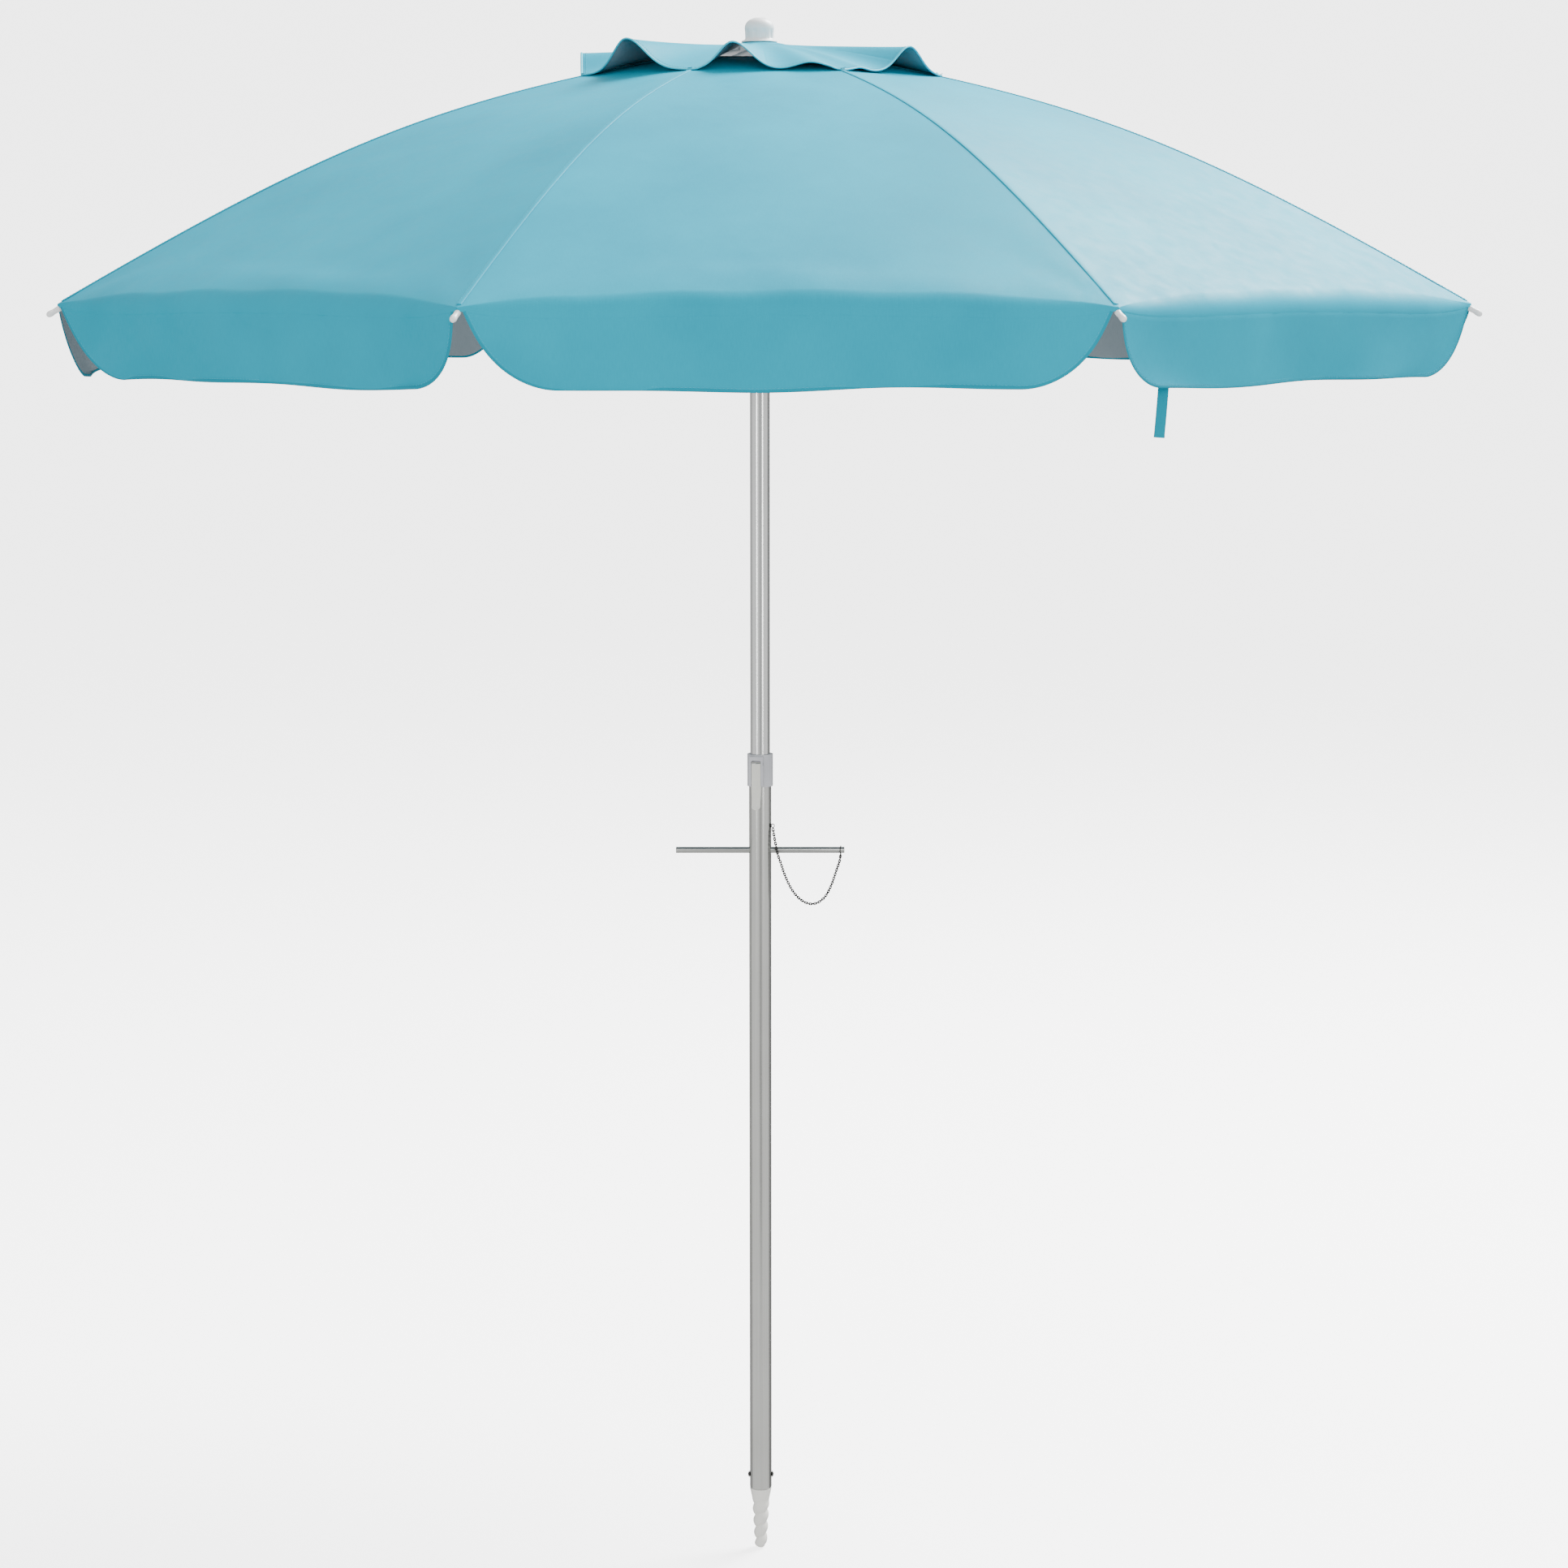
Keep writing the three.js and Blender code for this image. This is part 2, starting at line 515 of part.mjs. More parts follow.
// A straight strut with an eye in the runner and a fork round the rib's tab.
function makeStretcher() {
  const start = [RUNNER_PIVOT_RADIUS, 0, RUNNER_PIVOT_HEIGHT];
  const run = STRETCHER_RIB_RADIUS - RUNNER_PIVOT_RADIUS;
  const rise = jointHeight - RUNNER_PIVOT_HEIGHT;
  const length = Math.hypot(run, rise);
  const fork = cut(
    join(block(9, 6, 5, length - 4.5, 0, 0), rodY(2.5, 6, length, 0, 0, 8)),
    block(13, STRETCHER_TAB_THICKNESS + 2 * CLEARANCE, 12, length, 0, 0),
  );
  const rodLength = length - 7;
  const rod = rodX(STRETCHER_RADIUS, rodLength, rodLength / 2, 0, 0, 6);
  const strut = join(rod, rodY(3.3, 4, 0, 0, 0, 8), fork);
  return strut.rotate([0, -THREE.MathUtils.radToDeg(Math.atan2(rise, run)), 0]).translate(start);
}

// A moulded cap over the rib's end, bored for the rib.
function makeTipCap() {
  const rim = PROFILE[3];
  const before = PROFILE[2];
  const slope = Math.atan2(before[1] - rim[1], rim[0] - before[0]);
  const cap = cut(
    turned([[0, -13], [3.5, -13], [TIP_CAP_RADIUS, -11], [TIP_CAP_RADIUS, 6], [3, 9], [0, 10]], 8),
    disc(RIB_RADIUS + CLEARANCE, -20, 0.4, 6),
  );
  const tilt = 90 + THREE.MathUtils.radToDeg(slope);
  return cap.rotate([0, tilt, 0]).translate([rim[0], 0, TIP_LEVEL + rim[1] - RIB_DROP]);
}

const rib = makeRib();
const stretcher = makeStretcher();
const tipCap = makeTipCap();
for (let index = 0; index < RIB_COUNT; index += 1) {
  const spoke = turnedGroup(FIRST_RIB_AZIMUTH + index * GORE_ANGLE);
  addPart(`rib_${index + 1}`, rib, FIBREGLASS, spoke);
  addPart(`stretcher_${index + 1}`, stretcher, FIBREGLASS, spoke);
  addPart(`rib_tip_${index + 1}`, tipCap, WHITE_PLASTIC, spoke);
}

// ---- Canopy gores, valance flaps, vent top and strap, each about the middle of its gore ----

// Half the width of a gore that is cut straight between two ribs, less the seam's gap.
const halfWidth = (radius) => radius * Math.sin(HALF_GORE) - CLEARANCE / 2;
const rimLift = (across) => RIM_LIFT * (1 - across * across);

function makeGore() {
  return sheet(4, 5, (across, down, depth) => {
    const radius = THREE.MathUtils.lerp(CANOPY_HOLE_RADIUS, CANOPY_RADIUS, down);
    const height = TIP_LEVEL + canopyHeight(radius) + rimLift(across) * down ** 4;
    return [radius * Math.cos(HALF_GORE), across * halfWidth(radius), height - depth * FABRIC_THICKNESS];
  });
}

// A flap that hangs plumb from the rim, with sloping ends and round lower corners.
function makeFlap() {
  return sheet(4, 5, (across, down, depth) => {
    const corner = FLAP_CORNER_INSET * (1 - Math.sqrt(1 - down * down));
    const half = halfWidth(CANOPY_RADIUS) - FLAP_TOP_INSET - FLAP_SIDE_SLOPE * down - corner;
    const seam = TIP_LEVEL - FABRIC_THICKNESS - CLEARANCE;
    const top = seam + rimLift((across * half) / halfWidth(CANOPY_RADIUS));
    const x = RIM_MIDDLE_RADIUS - depth * FABRIC_THICKNESS;
    return [x, across * half, top - down * (FLAP_HEIGHT - FABRIC_THICKNESS)];
  });
}

// A shallow cone whose rim lifts clear of the canopy between the ribs.
function makeVent() {
  const centre = 5.6;
  const flat = 32;
  const clampedBottom = CROWN_TOP + CLEARANCE;
  const rimBottom = TIP_LEVEL + canopyHeight(VENT_RADIUS) + 1;
  const radii = [centre, flat, 150, VENT_RADIUS];
  const reachAt = (radius) => THREE.MathUtils.clamp((radius - flat) / (VENT_RADIUS - flat), 0, 1);
  const underside = (radius) => THREE.MathUtils.lerp(clampedBottom, rimBottom, reachAt(radius));
  const lower = radii.map((radius) => [radius, underside(radius)]);
  const upper = radii.map((radius) => [radius, underside(radius) + FABRIC_THICKNESS]).reverse();
  const points = [...lower, ...upper, lower[0]].map(([radius, height]) => new THREE.Vector2(radius, height));
  const cone = new THREE.LatheGeometry(points, 4 * RIB_COUNT).rotateX(Math.PI / 2);
  const position = cone.getAttribute('position');
  for (let i = 0; i < position.count; i += 1) {
    const radius = Math.hypot(position.getX(i), position.getY(i));
    const angle = Math.atan2(position.getY(i), position.getX(i)) - FIRST_RIB_AZIMUTH;
    const wave = (1 - Math.cos(RIB_COUNT * angle)) / 2;
    position.setZ(i, position.getZ(i) + VENT_LIFT * wave * reachAt(radius) ** 1.5);
  }
  return solid(cone);
}

function makeStrap() {
  const [thickness, width, length] = STRAP_SIZE;
  const hanging = block(thickness, width, length, 0, 0, -length / 2);
  const leaning = hanging.rotate([THREE.MathUtils.radToDeg(STRAP_LEAN), 0, 0]);
  return leaning.translate([RIM_MIDDLE_RADIUS - STRAP_BEHIND_FLAP, STRAP_ALONG_RIM, TIP_LEVEL - STRAP_DROP]);
}

const gore = makeGore();
const flap = makeFlap();
for (let index = 0; index < RIB_COUNT; index += 1) {
  const sector = turnedGroup(FIRST_RIB_AZIMUTH + (index + 0.5) * GORE_ANGLE);
  addPart(`canopy_panel_${index + 1}`, gore, TURQUOISE, sector);
  addPart(`valance_${index + 1}`, flap, TURQUOISE, sector);
  if (index + 1 === STRAP_GORE) addPart('closure_strap', makeStrap(), TURQUOISE, sector);
}
addPart('vent_canopy', makeVent(), TURQUOISE);

export default umbrella;
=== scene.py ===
from math import asin, atan2, copysign, cos, exp, hypot, pi, radians, sin, sqrt, tan, tau
import random

import bmesh
import bpy
from mathutils import Matrix, Vector


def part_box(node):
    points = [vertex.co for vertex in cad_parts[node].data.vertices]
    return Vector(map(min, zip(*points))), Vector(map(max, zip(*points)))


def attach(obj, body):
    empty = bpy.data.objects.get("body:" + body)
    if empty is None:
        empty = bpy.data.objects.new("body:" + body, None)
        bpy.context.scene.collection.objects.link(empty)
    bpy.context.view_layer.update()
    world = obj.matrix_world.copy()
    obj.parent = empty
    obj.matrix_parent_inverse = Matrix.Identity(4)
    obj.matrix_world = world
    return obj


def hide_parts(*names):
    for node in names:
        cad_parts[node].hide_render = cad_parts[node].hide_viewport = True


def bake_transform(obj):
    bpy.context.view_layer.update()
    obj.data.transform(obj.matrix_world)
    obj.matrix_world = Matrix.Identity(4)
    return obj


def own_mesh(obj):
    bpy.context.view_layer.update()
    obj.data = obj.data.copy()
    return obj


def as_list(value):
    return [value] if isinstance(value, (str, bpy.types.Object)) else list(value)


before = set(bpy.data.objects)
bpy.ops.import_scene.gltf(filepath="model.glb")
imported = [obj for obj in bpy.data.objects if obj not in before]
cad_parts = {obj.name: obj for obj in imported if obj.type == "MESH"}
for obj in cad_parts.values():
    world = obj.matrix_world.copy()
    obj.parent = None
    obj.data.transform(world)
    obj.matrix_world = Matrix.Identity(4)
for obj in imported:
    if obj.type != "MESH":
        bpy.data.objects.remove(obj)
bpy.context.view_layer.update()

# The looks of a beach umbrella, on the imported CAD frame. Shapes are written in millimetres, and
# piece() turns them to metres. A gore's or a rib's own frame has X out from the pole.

MM = 0.001
CLEAR = 0.3
UP = Vector((0, 0, 1))
OUT = Vector((1, 0, 0))


def box_mm(node):
    low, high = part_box(node)
    return low / MM, high / MM


def metres(point):
    return [c * MM for c in point]


# ---- Places, read off the CAD nodes ----

RIBS = 8
GORE_ANGLE = tau / RIBS
HALF_GORE = GORE_ANGLE / 2
FIRST_RIB = radians(25)
TIP_LEVEL = box_mm("canopy_panel_1")[0].z + 2
RIM_RADIUS = 990.0
RIM_X = RIM_RADIUS * cos(HALF_GORE)
RIM_HALF = RIM_RADIUS * sin(HALF_GORE)
HOLE_RADIUS = 150.0
PROFILE = ((20.0, 356.0), (450.0, 278.0), (585.0, 232.0), (997.0, 0.0))
RIM_LIFT = 12.0
RIM_ROLL = 17.0
RIB_DROP = 7.3

LOWER_RADIUS = box_mm("lower_pole")[1].y
LOWER_FOOT = box_mm("lower_pole")[0].z
LOWER_TOP = box_mm("lower_pole")[1].z
UPPER_RADIUS = box_mm("upper_pole")[1].y
BORE = UPPER_RADIUS - 1.3
UPPER_FOOT = box_mm("upper_pole")[0].z
UPPER_TOP = box_mm("upper_pole")[1].z
MAST_BOTTOM = box_mm("mast_tube")[0].z
MAST_TOP = box_mm("mast_tube")[1].z
BAR_LOW, BAR_HIGH = box_mm("turning_bar")
BAR_HEIGHT = (BAR_LOW.z + BAR_HIGH.z) / 2
BAR_RADIUS = (BAR_HIGH.z - BAR_LOW.z) / 2
RING_HOLE = 115.0
BOLT_HEIGHT = sum(v.z for v in box_mm("anchor_bolt")) / 2
BOLT_REACH = box_mm("anchor_bolt")[1].x
RIVET_HOLE = 3.3
COLLAR_LOW = box_mm("lock_collar")[0].z
COLLAR_HIGH = box_mm("lock_collar")[1].z
CLAMP_TURN = radians(-15)
LEVER_FOOT = box_mm("lock_lever")[0].z
PIN_HEIGHT = sum(v.z for v in box_mm("lever_pin")) / 2
PIN_DEPTH = 20.8
TILT_HEIGHT = 1770.0
BUTTON_HEIGHT = sum(v.z for v in box_mm("tilt_button")) / 2
BUTTON_HOLE = 3.8
CROWN_LOW = MAST_TOP + CLEAR
CROWN_HIGH = box_mm("crown")[1].z
CROWN_RADIUS = 31.0
RIB_PIVOT = Vector((20.0, 0.0, TIP_LEVEL + PROFILE[0][1] - RIB_DROP))
FINIAL_TOP = box_mm("finial")[1].z
FLANGE_BASE = CROWN_HIGH + 3
RUNNER_LOW = box_mm("runner")[0].z
RUNNER_HIGH = box_mm("runner")[1].z
RUNNER_PIVOT = Vector((22.0, 0.0, RUNNER_HIGH - 8))
CATCH_HEIGHT = sum(v.z for v in box_mm("runner_button")) / 2
EYELET_HEIGHT = sum(v.z for v in box_mm("chain_eyelet")) / 2
EYELET_AZIMUTH = radians(-20)
VENT_INNER = 29.0
VENT_RADIUS = 265.0
CHAIN_ROUTE = (
    (18.3, -6.8, 1070.6), (19.8, -8.0, 1061), (21.8, -8.8, 1050), (24.5, -9.2, 1036), (29.7, -8.8, 1020.3),
    (34.9, -8.0, 1004.7), (40.7, -7.2, 991.1), (47.3, -6.4, 979.4), (55.8, -5.5, 969.6), (64.4, -4.6, 963.7),
    (73.9, -3.8, 961.2), (83.4, -3.0, 963.7), (91.9, -2.3, 970.5), (97.6, -1.8, 979.4), (102.4, -1.3, 990.1),
    (106.2, -0.9, 1000.9), (110.0, -0.5, 1012.5), (113.3, -0.2, 1022.2), (114.8, 0.0, 1031),
)
CHAIN_WIDTH = 4.3
CHAIN_WIRE = 0.74
LINK_LENGTH = 6.3
LINK_PITCH = 3.35


def rib_azimuth(k):
    return FIRST_RIB + (k - 1) * GORE_ANGLE


def gore_azimuth(k):
    return rib_azimuth(k) + HALF_GORE


def mix(a, b, t):
    return a + (b - a) * t


def smooth(t):
    t = min(1.0, max(0.0, t))
    return t * t * (3 - 2 * t)


# ---- Mesh tools ----


def linked(name, data):
    """A new object in the scene, from a mesh, camera or light."""
    obj = bpy.data.objects.new(name, data)
    bpy.context.scene.collection.objects.link(obj)
    return obj


def piece(name, points, faces, material, sharp=40):
    """A new mesh object from points in millimetres."""
    mesh = bpy.data.meshes.new(name)
    mesh.from_pydata([tuple(c * MM for c in p) for p in points], [], faces)
    mesh.materials.append(material)
    return shaded(linked(name, mesh), sharp)


def shaded(obj, sharp=40):
    obj.data.shade_smooth()
    obj.data.set_sharp_from_angle(angle=radians(sharp))
    return obj


def grid_faces(columns, rows, wrap=False):
    across = columns if wrap else columns + 1
    faces = []
    for j in range(rows):
        for i in range(columns):
            a, b = j * across + i, j * across + (i + 1) % across
            faces.append((a, b, b + across, a + across))
    return faces


def circle(count, radius=1.0):
    """Points of a circle about the origin."""
    return [(radius * cos(tau * s / count), radius * sin(tau * s / count)) for s in range(count)]


def column(name, radius, low, high, material, sides=72):
    """An upright cylinder between two heights."""
    return turned(name, [(0, low), (radius, low), (radius, high), (0, high)], material, sides)


def turned(name, profile, material, sides=72, swell=None):
    """A body of revolution about Z through [radius, height] points. A closed profile makes a tube."""
    closed = profile[0] == profile[-1]
    rings = profile[:-1] if closed else profile
    points, starts = [], []
    for radius, height in rings:
        starts.append(len(points))
        for s in range(1 if radius < 1e-6 else sides):
            a = tau * s / sides
            r = radius + (swell(radius, height, a) if swell else 0)
            points.append((r * cos(a), r * sin(a), height))
    faces = []
    pairs = list(zip(range(len(rings)), range(1, len(rings))))
    for i, j in pairs + ([(len(rings) - 1, 0)] if closed else []):
        lone_i, lone_j = rings[i][0] < 1e-6, rings[j][0] < 1e-6
        for s in range(sides):
            n = (s + 1) % sides
            low = [starts[i]] if lone_i else [starts[i] + s, starts[i] + n]
            high = [starts[j]] if lone_j else [starts[j] + n, starts[j] + s]
            if len(low) + len(high) > 2:
                faces.append(low + high)
    if not closed:
        for i, flip in ((0, -1), (len(rings) - 1, 1)):
            if rings[i][0] > 1e-6:
                faces.append([starts[i] + s for s in range(sides)][::flip])
    return piece(name, points, faces, material)


def frames_along(path, closed=False, up=None):
    """A pair of cross directions at each point of a path, turning as little as they can."""
    count = len(path)
    found, last = [], None
    for i in range(count):
        before = path[i - 1] if closed or i else path[0]
        after = path[(i + 1) % count] if closed or i < count - 1 else path[-1]
        along = (after - before).normalized()
        guide = up[i] if up else last or (UP if abs(along.z) < 0.9 else OUT)
        side = (guide - along * guide.dot(along)).normalized()
        last = side
        found.append((side, along.cross(side)))
    return found


def swept(name, path, radii, material, sides=12, closed=False, up=None):
    """A bar along a path. radii is a number, a (thick, wide) pair, or one of those for each point."""
    path = [Vector(p) for p in path]
    each = radii if isinstance(radii, list) else [radii] * len(path)
    points = []
    for centre, size, (side, cross) in zip(path, each, frames_along(path, closed, up)):
        thick, wide = size if isinstance(size, tuple) else (size, size)
        points += [centre + side * (thick * c) + cross * (wide * d) for c, d in circle(sides)]
    rows = len(path) if closed else len(path) - 1
    faces = [[n % len(points) for n in face] for face in grid_faces(sides, rows, wrap=True)]
    if not closed:
        faces += [list(range(sides))[::-1], [rows * sides + s for s in range(sides)]]
    return piece(name, points, faces, material)


def rounded_bar(name, start, end, radius, material, sides=24, ease=0.5):
    """A straight round bar with eased ends."""
    start, end = Vector(start), Vector(end)
    along = (end - start).normalized()
    steps = [(0, radius - ease), (ease * 0.3, radius - ease * 0.3), (ease, radius)]
    path = [start + along * d for d, _ in steps] + [end - along * d for d, _ in reversed(steps)]
    return swept(name, path, [r for _, r in steps] + [r for _, r in reversed(steps)], material, sides)


def plate(name, outline, low, high, material):
    """A flat plate between two Y levels, from an outline of (x, z) points."""
    return placed(prism(name, outline, -high, -low, material), (0, 0, 0), pi / 2)


def prism(name, outline, low, high, material):
    """An upright prism from an outline of (x, y) points."""
    count = len(outline)
    points = [(x, y, z) for z in (low, high) for x, y in outline]
    faces = [list(range(count))[::-1], list(range(count, 2 * count))]
    faces += [(i, (i + 1) % count, (i + 1) % count + count, i + count) for i in range(count)]
    return repaired(piece(name, points, faces, material))


def repaired(obj):
    """Faces that all point out."""
    bm = bmesh.new()
    bm.from_mesh(obj.data)
    bmesh.ops.remove_doubles(bm, verts=bm.verts, dist=1e-6)
    bmesh.ops.recalc_face_normals(bm, faces=bm.faces)
    bm.to_mesh(obj.data)
    bm.free()
    return obj


def arc(x, z, radius, start, end, steps=12):
    angles = [radians(mix(start, end, i / steps)) for i in range(steps + 1)]
    return [(x + radius * cos(a), z + radius * sin(a)) for a in angles]


def applied(obj, sharp=40):
    """The object with its modifiers made real."""
    graph = bpy.context.evaluated_depsgraph_get()
    mesh = bpy.data.meshes.new_from_object(obj.evaluated_get(graph))
    obj.modifiers.clear()
    obj.data = mesh
    return shaded(obj, sharp)


def softened(obj, width, segments=2, angle=35):
    bevel = obj.modifiers.new("edges", "BEVEL")
    bevel.width = width * MM
    bevel.segments = segments
    bevel.limit_method = "ANGLE"
    bevel.angle_limit = radians(angle)
    bevel.harden_normals = False
    return applied(obj, 50)


def carved(obj, *cutters, how="DIFFERENCE"):
    """The object after booleans with the cutters, which are used up."""
    for cutter in cutters:
        boolean = obj.modifiers.new("carve", "BOOLEAN")
        boolean.operation = how
        boolean.solver = "EXACT"
        boolean.object = cutter
    applied(obj)
    for cutter in cutters:
        bpy.data.objects.remove(cutter)
    return obj


def joined(name, objs):
    """One object from several of one material."""
    bm = bmesh.new()
    for obj in objs:
        bm.from_mesh(obj.data)
    mesh = bpy.data.meshes.new(name)
    bm.to_mesh(mesh)
    bm.free()
    mesh.materials.append(objs[0].data.materials[0])
    for obj in objs:
        bpy.data.objects.remove(obj)
    return shaded(linked(name, mesh))


def spun(obj, azimuth):
    """The object turned about the pole."""
    return placed(obj, (0, 0, 0), azimuth, "Z")


def placed(obj, centre, turn=0.0, axis="X"):
    """The object turned about an axis, then moved to a centre in millimetres."""
    obj.data.transform(Matrix.Translation(Vector(centre) * MM) @ Matrix.Rotation(turn, 4, axis))
    return obj


def fitted(obj, body, slot, *nodes):
    """Rides a body and stands for CAD nodes. The slot is not used."""
    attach(obj, body)
    if nodes:
        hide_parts(*nodes)
    return obj


def resampled(path, pitch):
    """Points and directions at even distances along a path."""
    path = [Vector(p) for p in path]
    found, carry = [], pitch / 2
    for a, b in zip(path, path[1:]):
        length = (b - a).length
        while carry <= length:
            found.append((a.lerp(b, carry / length), (b - a).normalized()))
            carry += pitch
        carry -= length
    return found


def stitched(name, path, up):
    """A row of thread stitches on a surface. up is the surface's outward direction."""
    length, pitch, thick = 3.2, 4.8, 0.28
    points, faces = [], []
    for centre, along in resampled(path, pitch):
        side = along.cross(up).normalized()
        rise = side.cross(along).normalized()
        base = len(points)
        for t, r in ((-1, 0.35), (-0.6, 1), (0.6, 1), (1, 0.35)):
            for a in (0.25, 0.75, 1.25, 1.75):
                cross = side * cos(a * pi) + rise * sin(a * pi)
                lift = cross * (thick * r) + rise * (thick * r * 0.4)
                points.append(centre + along * (t * length / 2) + lift)
        faces += [[base + i for i in face] for face in grid_faces(4, 3, wrap=True)]
        faces += [[base + 3, base + 2, base + 1, base], [base + 12, base + 13, base + 14, base + 15]]
    return piece(name, points, faces, thread, 60)


# ---- Materials ----


class Finish:
    """A Principled material with helpers for its nodes."""

    def __init__(self, name, **values):
        self.material = bpy.data.materials.new(name)
        self.material.use_nodes = True
        self.tree = self.material.node_tree
        self.shader = self.tree.nodes["Principled BSDF"]
        for socket, value in values.items():
            self.shader.inputs[socket.replace("_", " ")].default_value = value
        self.place = self.add("TexCoord").outputs["Object"]

    def add(self, kind, inputs=(), **settings):
        node = self.tree.nodes.new("ShaderNode" + kind)
        for key, value in settings.items():
            setattr(node, key, value)
        for key, value in dict(inputs).items():
            if isinstance(value, bpy.types.NodeSocket):
                self.tree.links.new(value, node.inputs[key])
            else:
                node.inputs[key].default_value = value
        return node

    def stretched(self, scale, source=None):
        return self.add("Mapping", {"Vector": source or self.place, "Scale": scale}).outputs["Vector"]

    def noise(self, scale, detail=3.0, source=None):
        inputs = {"Vector": source or self.place, "Scale": scale, "Detail": detail, "Roughness": 0.55}
        return self.add("TexNoise", inputs).outputs["Fac"]

    def between(self, factor, low, high):
        """Colours, or grey levels for a number, between two ends of a factor."""
        ramp = self.add("ValToRGB", {"Fac": factor})
        for element, place, value in zip(ramp.color_ramp.elements, (0.3, 0.7), (low, high)):
            element.position = place
            element.color = (*value, 1) if hasattr(value, "__len__") else (value, value, value, 1)
        return ramp.outputs["Color"]

    def blend(self, factor, low, high):
        return self.add("Mix", {0: factor, 6: low, 7: high}, data_type="RGBA").outputs[2]

    def sums(self, how, a, b):
        return self.add("Math", {0: a, 1: b}, operation=how).outputs[0]

    def weighed(self, a, share, b):
        """A share of one factor and the rest of another."""
        return self.sums("ADD", self.sums("MULTIPLY", a, share), self.sums("MULTIPLY", b, 1 - share))

    def set(self, socket, value):
        self.tree.links.new(value, self.shader.inputs[socket])

    def bump(self, height, strength, distance, under=None):
        inputs = {"Height": height, "Strength": strength, "Distance": distance}
        if under:
            inputs["Normal"] = under
        return self.add("Bump", inputs).outputs["Normal"]


def woven(name, dark, light, rough=(0.5, 0.62), pitch=0.55, **values):
    """Plain-woven cloth. The threads follow the cloth's own layout where it has one."""
    f = Finish(name, **values)
    layout = f.add("UVMap", uv_map="cloth").outputs["UV"]
    waves = {"Vector": layout, "Scale": 0.314 / (pitch * MM)}
    weave = f.sums("MAXIMUM", *(f.add("TexWave", waves, bands_direction=way).outputs["Fac"] for way in "XY"))
    slub = f.noise(1.0, 2.0, f.stretched((900, 90, 90), layout))
    shade = f.between(f.weighed(f.noise(5.0, 4.0), 0.75, slub), dark, light)
    f.set("Base Color", f.blend(f.sums("MULTIPLY", weave, 0.12), shade, (*light, 1)))
    f.set("Roughness", f.between(f.noise(40.0), *rough))
    f.set("Normal", f.bump(weave, 0.25, 0.0001, f.bump(f.noise(14.0, 5.0), 0.12, 0.004)))
    return f.material


def drawn_metal(name, dark, light, rough, streak=0.06, metallic=1.0):
    """Tube metal with fine lines along Z."""
    f = Finish(name, Metallic=metallic)
    lines = f.noise(1.0, 4.0, f.stretched((1500, 1500, 6)))
    f.set("Base Color", f.between(f.weighed(lines, 0.6, f.noise(9.0)), dark, light))
    f.set("Roughness", f.between(lines, *rough))
    f.set("Normal", f.bump(lines, streak, 0.0001))
    return f.material


def machined_metal(name, dark, light, rough):
    """Plated or plain steel with faint clouds and scratches."""
    f = Finish(name, Metallic=1.0)
    scratches = f.noise(1.0, 3.0, f.stretched((40, 1800, 1800)))
    f.set("Base Color", f.between(f.noise(900.0, 4.0), dark, light))
    f.set("Roughness", f.between(scratches, *rough))
    f.set("Normal", f.bump(scratches, 0.05, 0.0001))
    return f.material


def moulded(name, dark, light, rough, grain=0.12):
    """Moulded plastic with a fine grain and faint flow marks."""
    f = Finish(name)
    flow = f.noise(1.0, 4.0, f.stretched((60, 60, 25)))
    f.set("Base Color", f.between(flow, dark, light))
    f.set("Roughness", f.between(flow, rough[1], rough[0]))
    f.set("Normal", f.bump(f.noise(900.0, 2.0), grain, 0.0002, f.bump(flow, 0.1, 0.0005)))
    return f.material


turquoise = woven(
    "turquoise_cloth", (0.0, 0.275, 0.395), (0.0, 0.355, 0.495), (0.46, 0.58), Specular_IOR_Level=0.1,
    Specular_Tint=(0.1, 0.8, 1.0, 1.0),
)
teal_tape = woven(
    "teal_tape", (0.0, 0.21, 0.30), (0.0, 0.27, 0.38), (0.6, 0.72), 0.9, Specular_IOR_Level=0.2,
    Specular_Tint=(0.2, 0.85, 1.0, 1.0),
)
# Lighter than the cloth: partly the piping's own colour, partly a painted highlight along the vent's rim.
piping_with_painted_highlight = woven(
    "piping_with_painted_highlight", (0.01, 0.42, 0.55), (0.03, 0.52, 0.65), (0.5, 0.6), 0.7, Specular_IOR_Level=0.3,
)
silver = woven("silver_lining", (0.25, 0.32, 0.36), (0.33, 0.40, 0.44), (0.38, 0.52), Metallic=0.35)
thread = woven("sewing_thread", (0.01, 0.38, 0.50), (0.03, 0.47, 0.60), (0.55, 0.65), 0.3)
bright_tube = drawn_metal("bright_aluminium", (0.66, 0.67, 0.66), (0.78, 0.79, 0.78), (0.12, 0.19))
satin_tube = drawn_metal("satin_aluminium", (0.54, 0.545, 0.52), (0.66, 0.665, 0.64), (0.17, 0.26), 0.1)
steel = machined_metal("plain_steel", (0.36, 0.37, 0.355), (0.48, 0.49, 0.475), (0.26, 0.4))
dark_steel = machined_metal("chain_steel", (0.035, 0.035, 0.034), (0.085, 0.085, 0.082), (0.34, 0.46))
white_plastic = moulded("white_plastic", (0.78, 0.8, 0.8), (0.86, 0.87, 0.87), (0.3, 0.42))
cream_plastic = moulded("cream_plastic", (0.69, 0.69, 0.63), (0.77, 0.77, 0.71), (0.35, 0.48))
anchor_plastic = moulded("anchor_plastic", (0.8, 0.8, 0.75), (0.88, 0.88, 0.83), (0.22, 0.34))
grey_plastic = moulded("grey_plastic", (0.5, 0.51, 0.54), (0.58, 0.59, 0.62), (0.35, 0.5), 0.2)
fibreglass = drawn_metal("fibreglass", (0.74, 0.75, 0.75), (0.82, 0.83, 0.82), (0.35, 0.5), metallic=0.0)


# ---- Camera, lights and floor ----


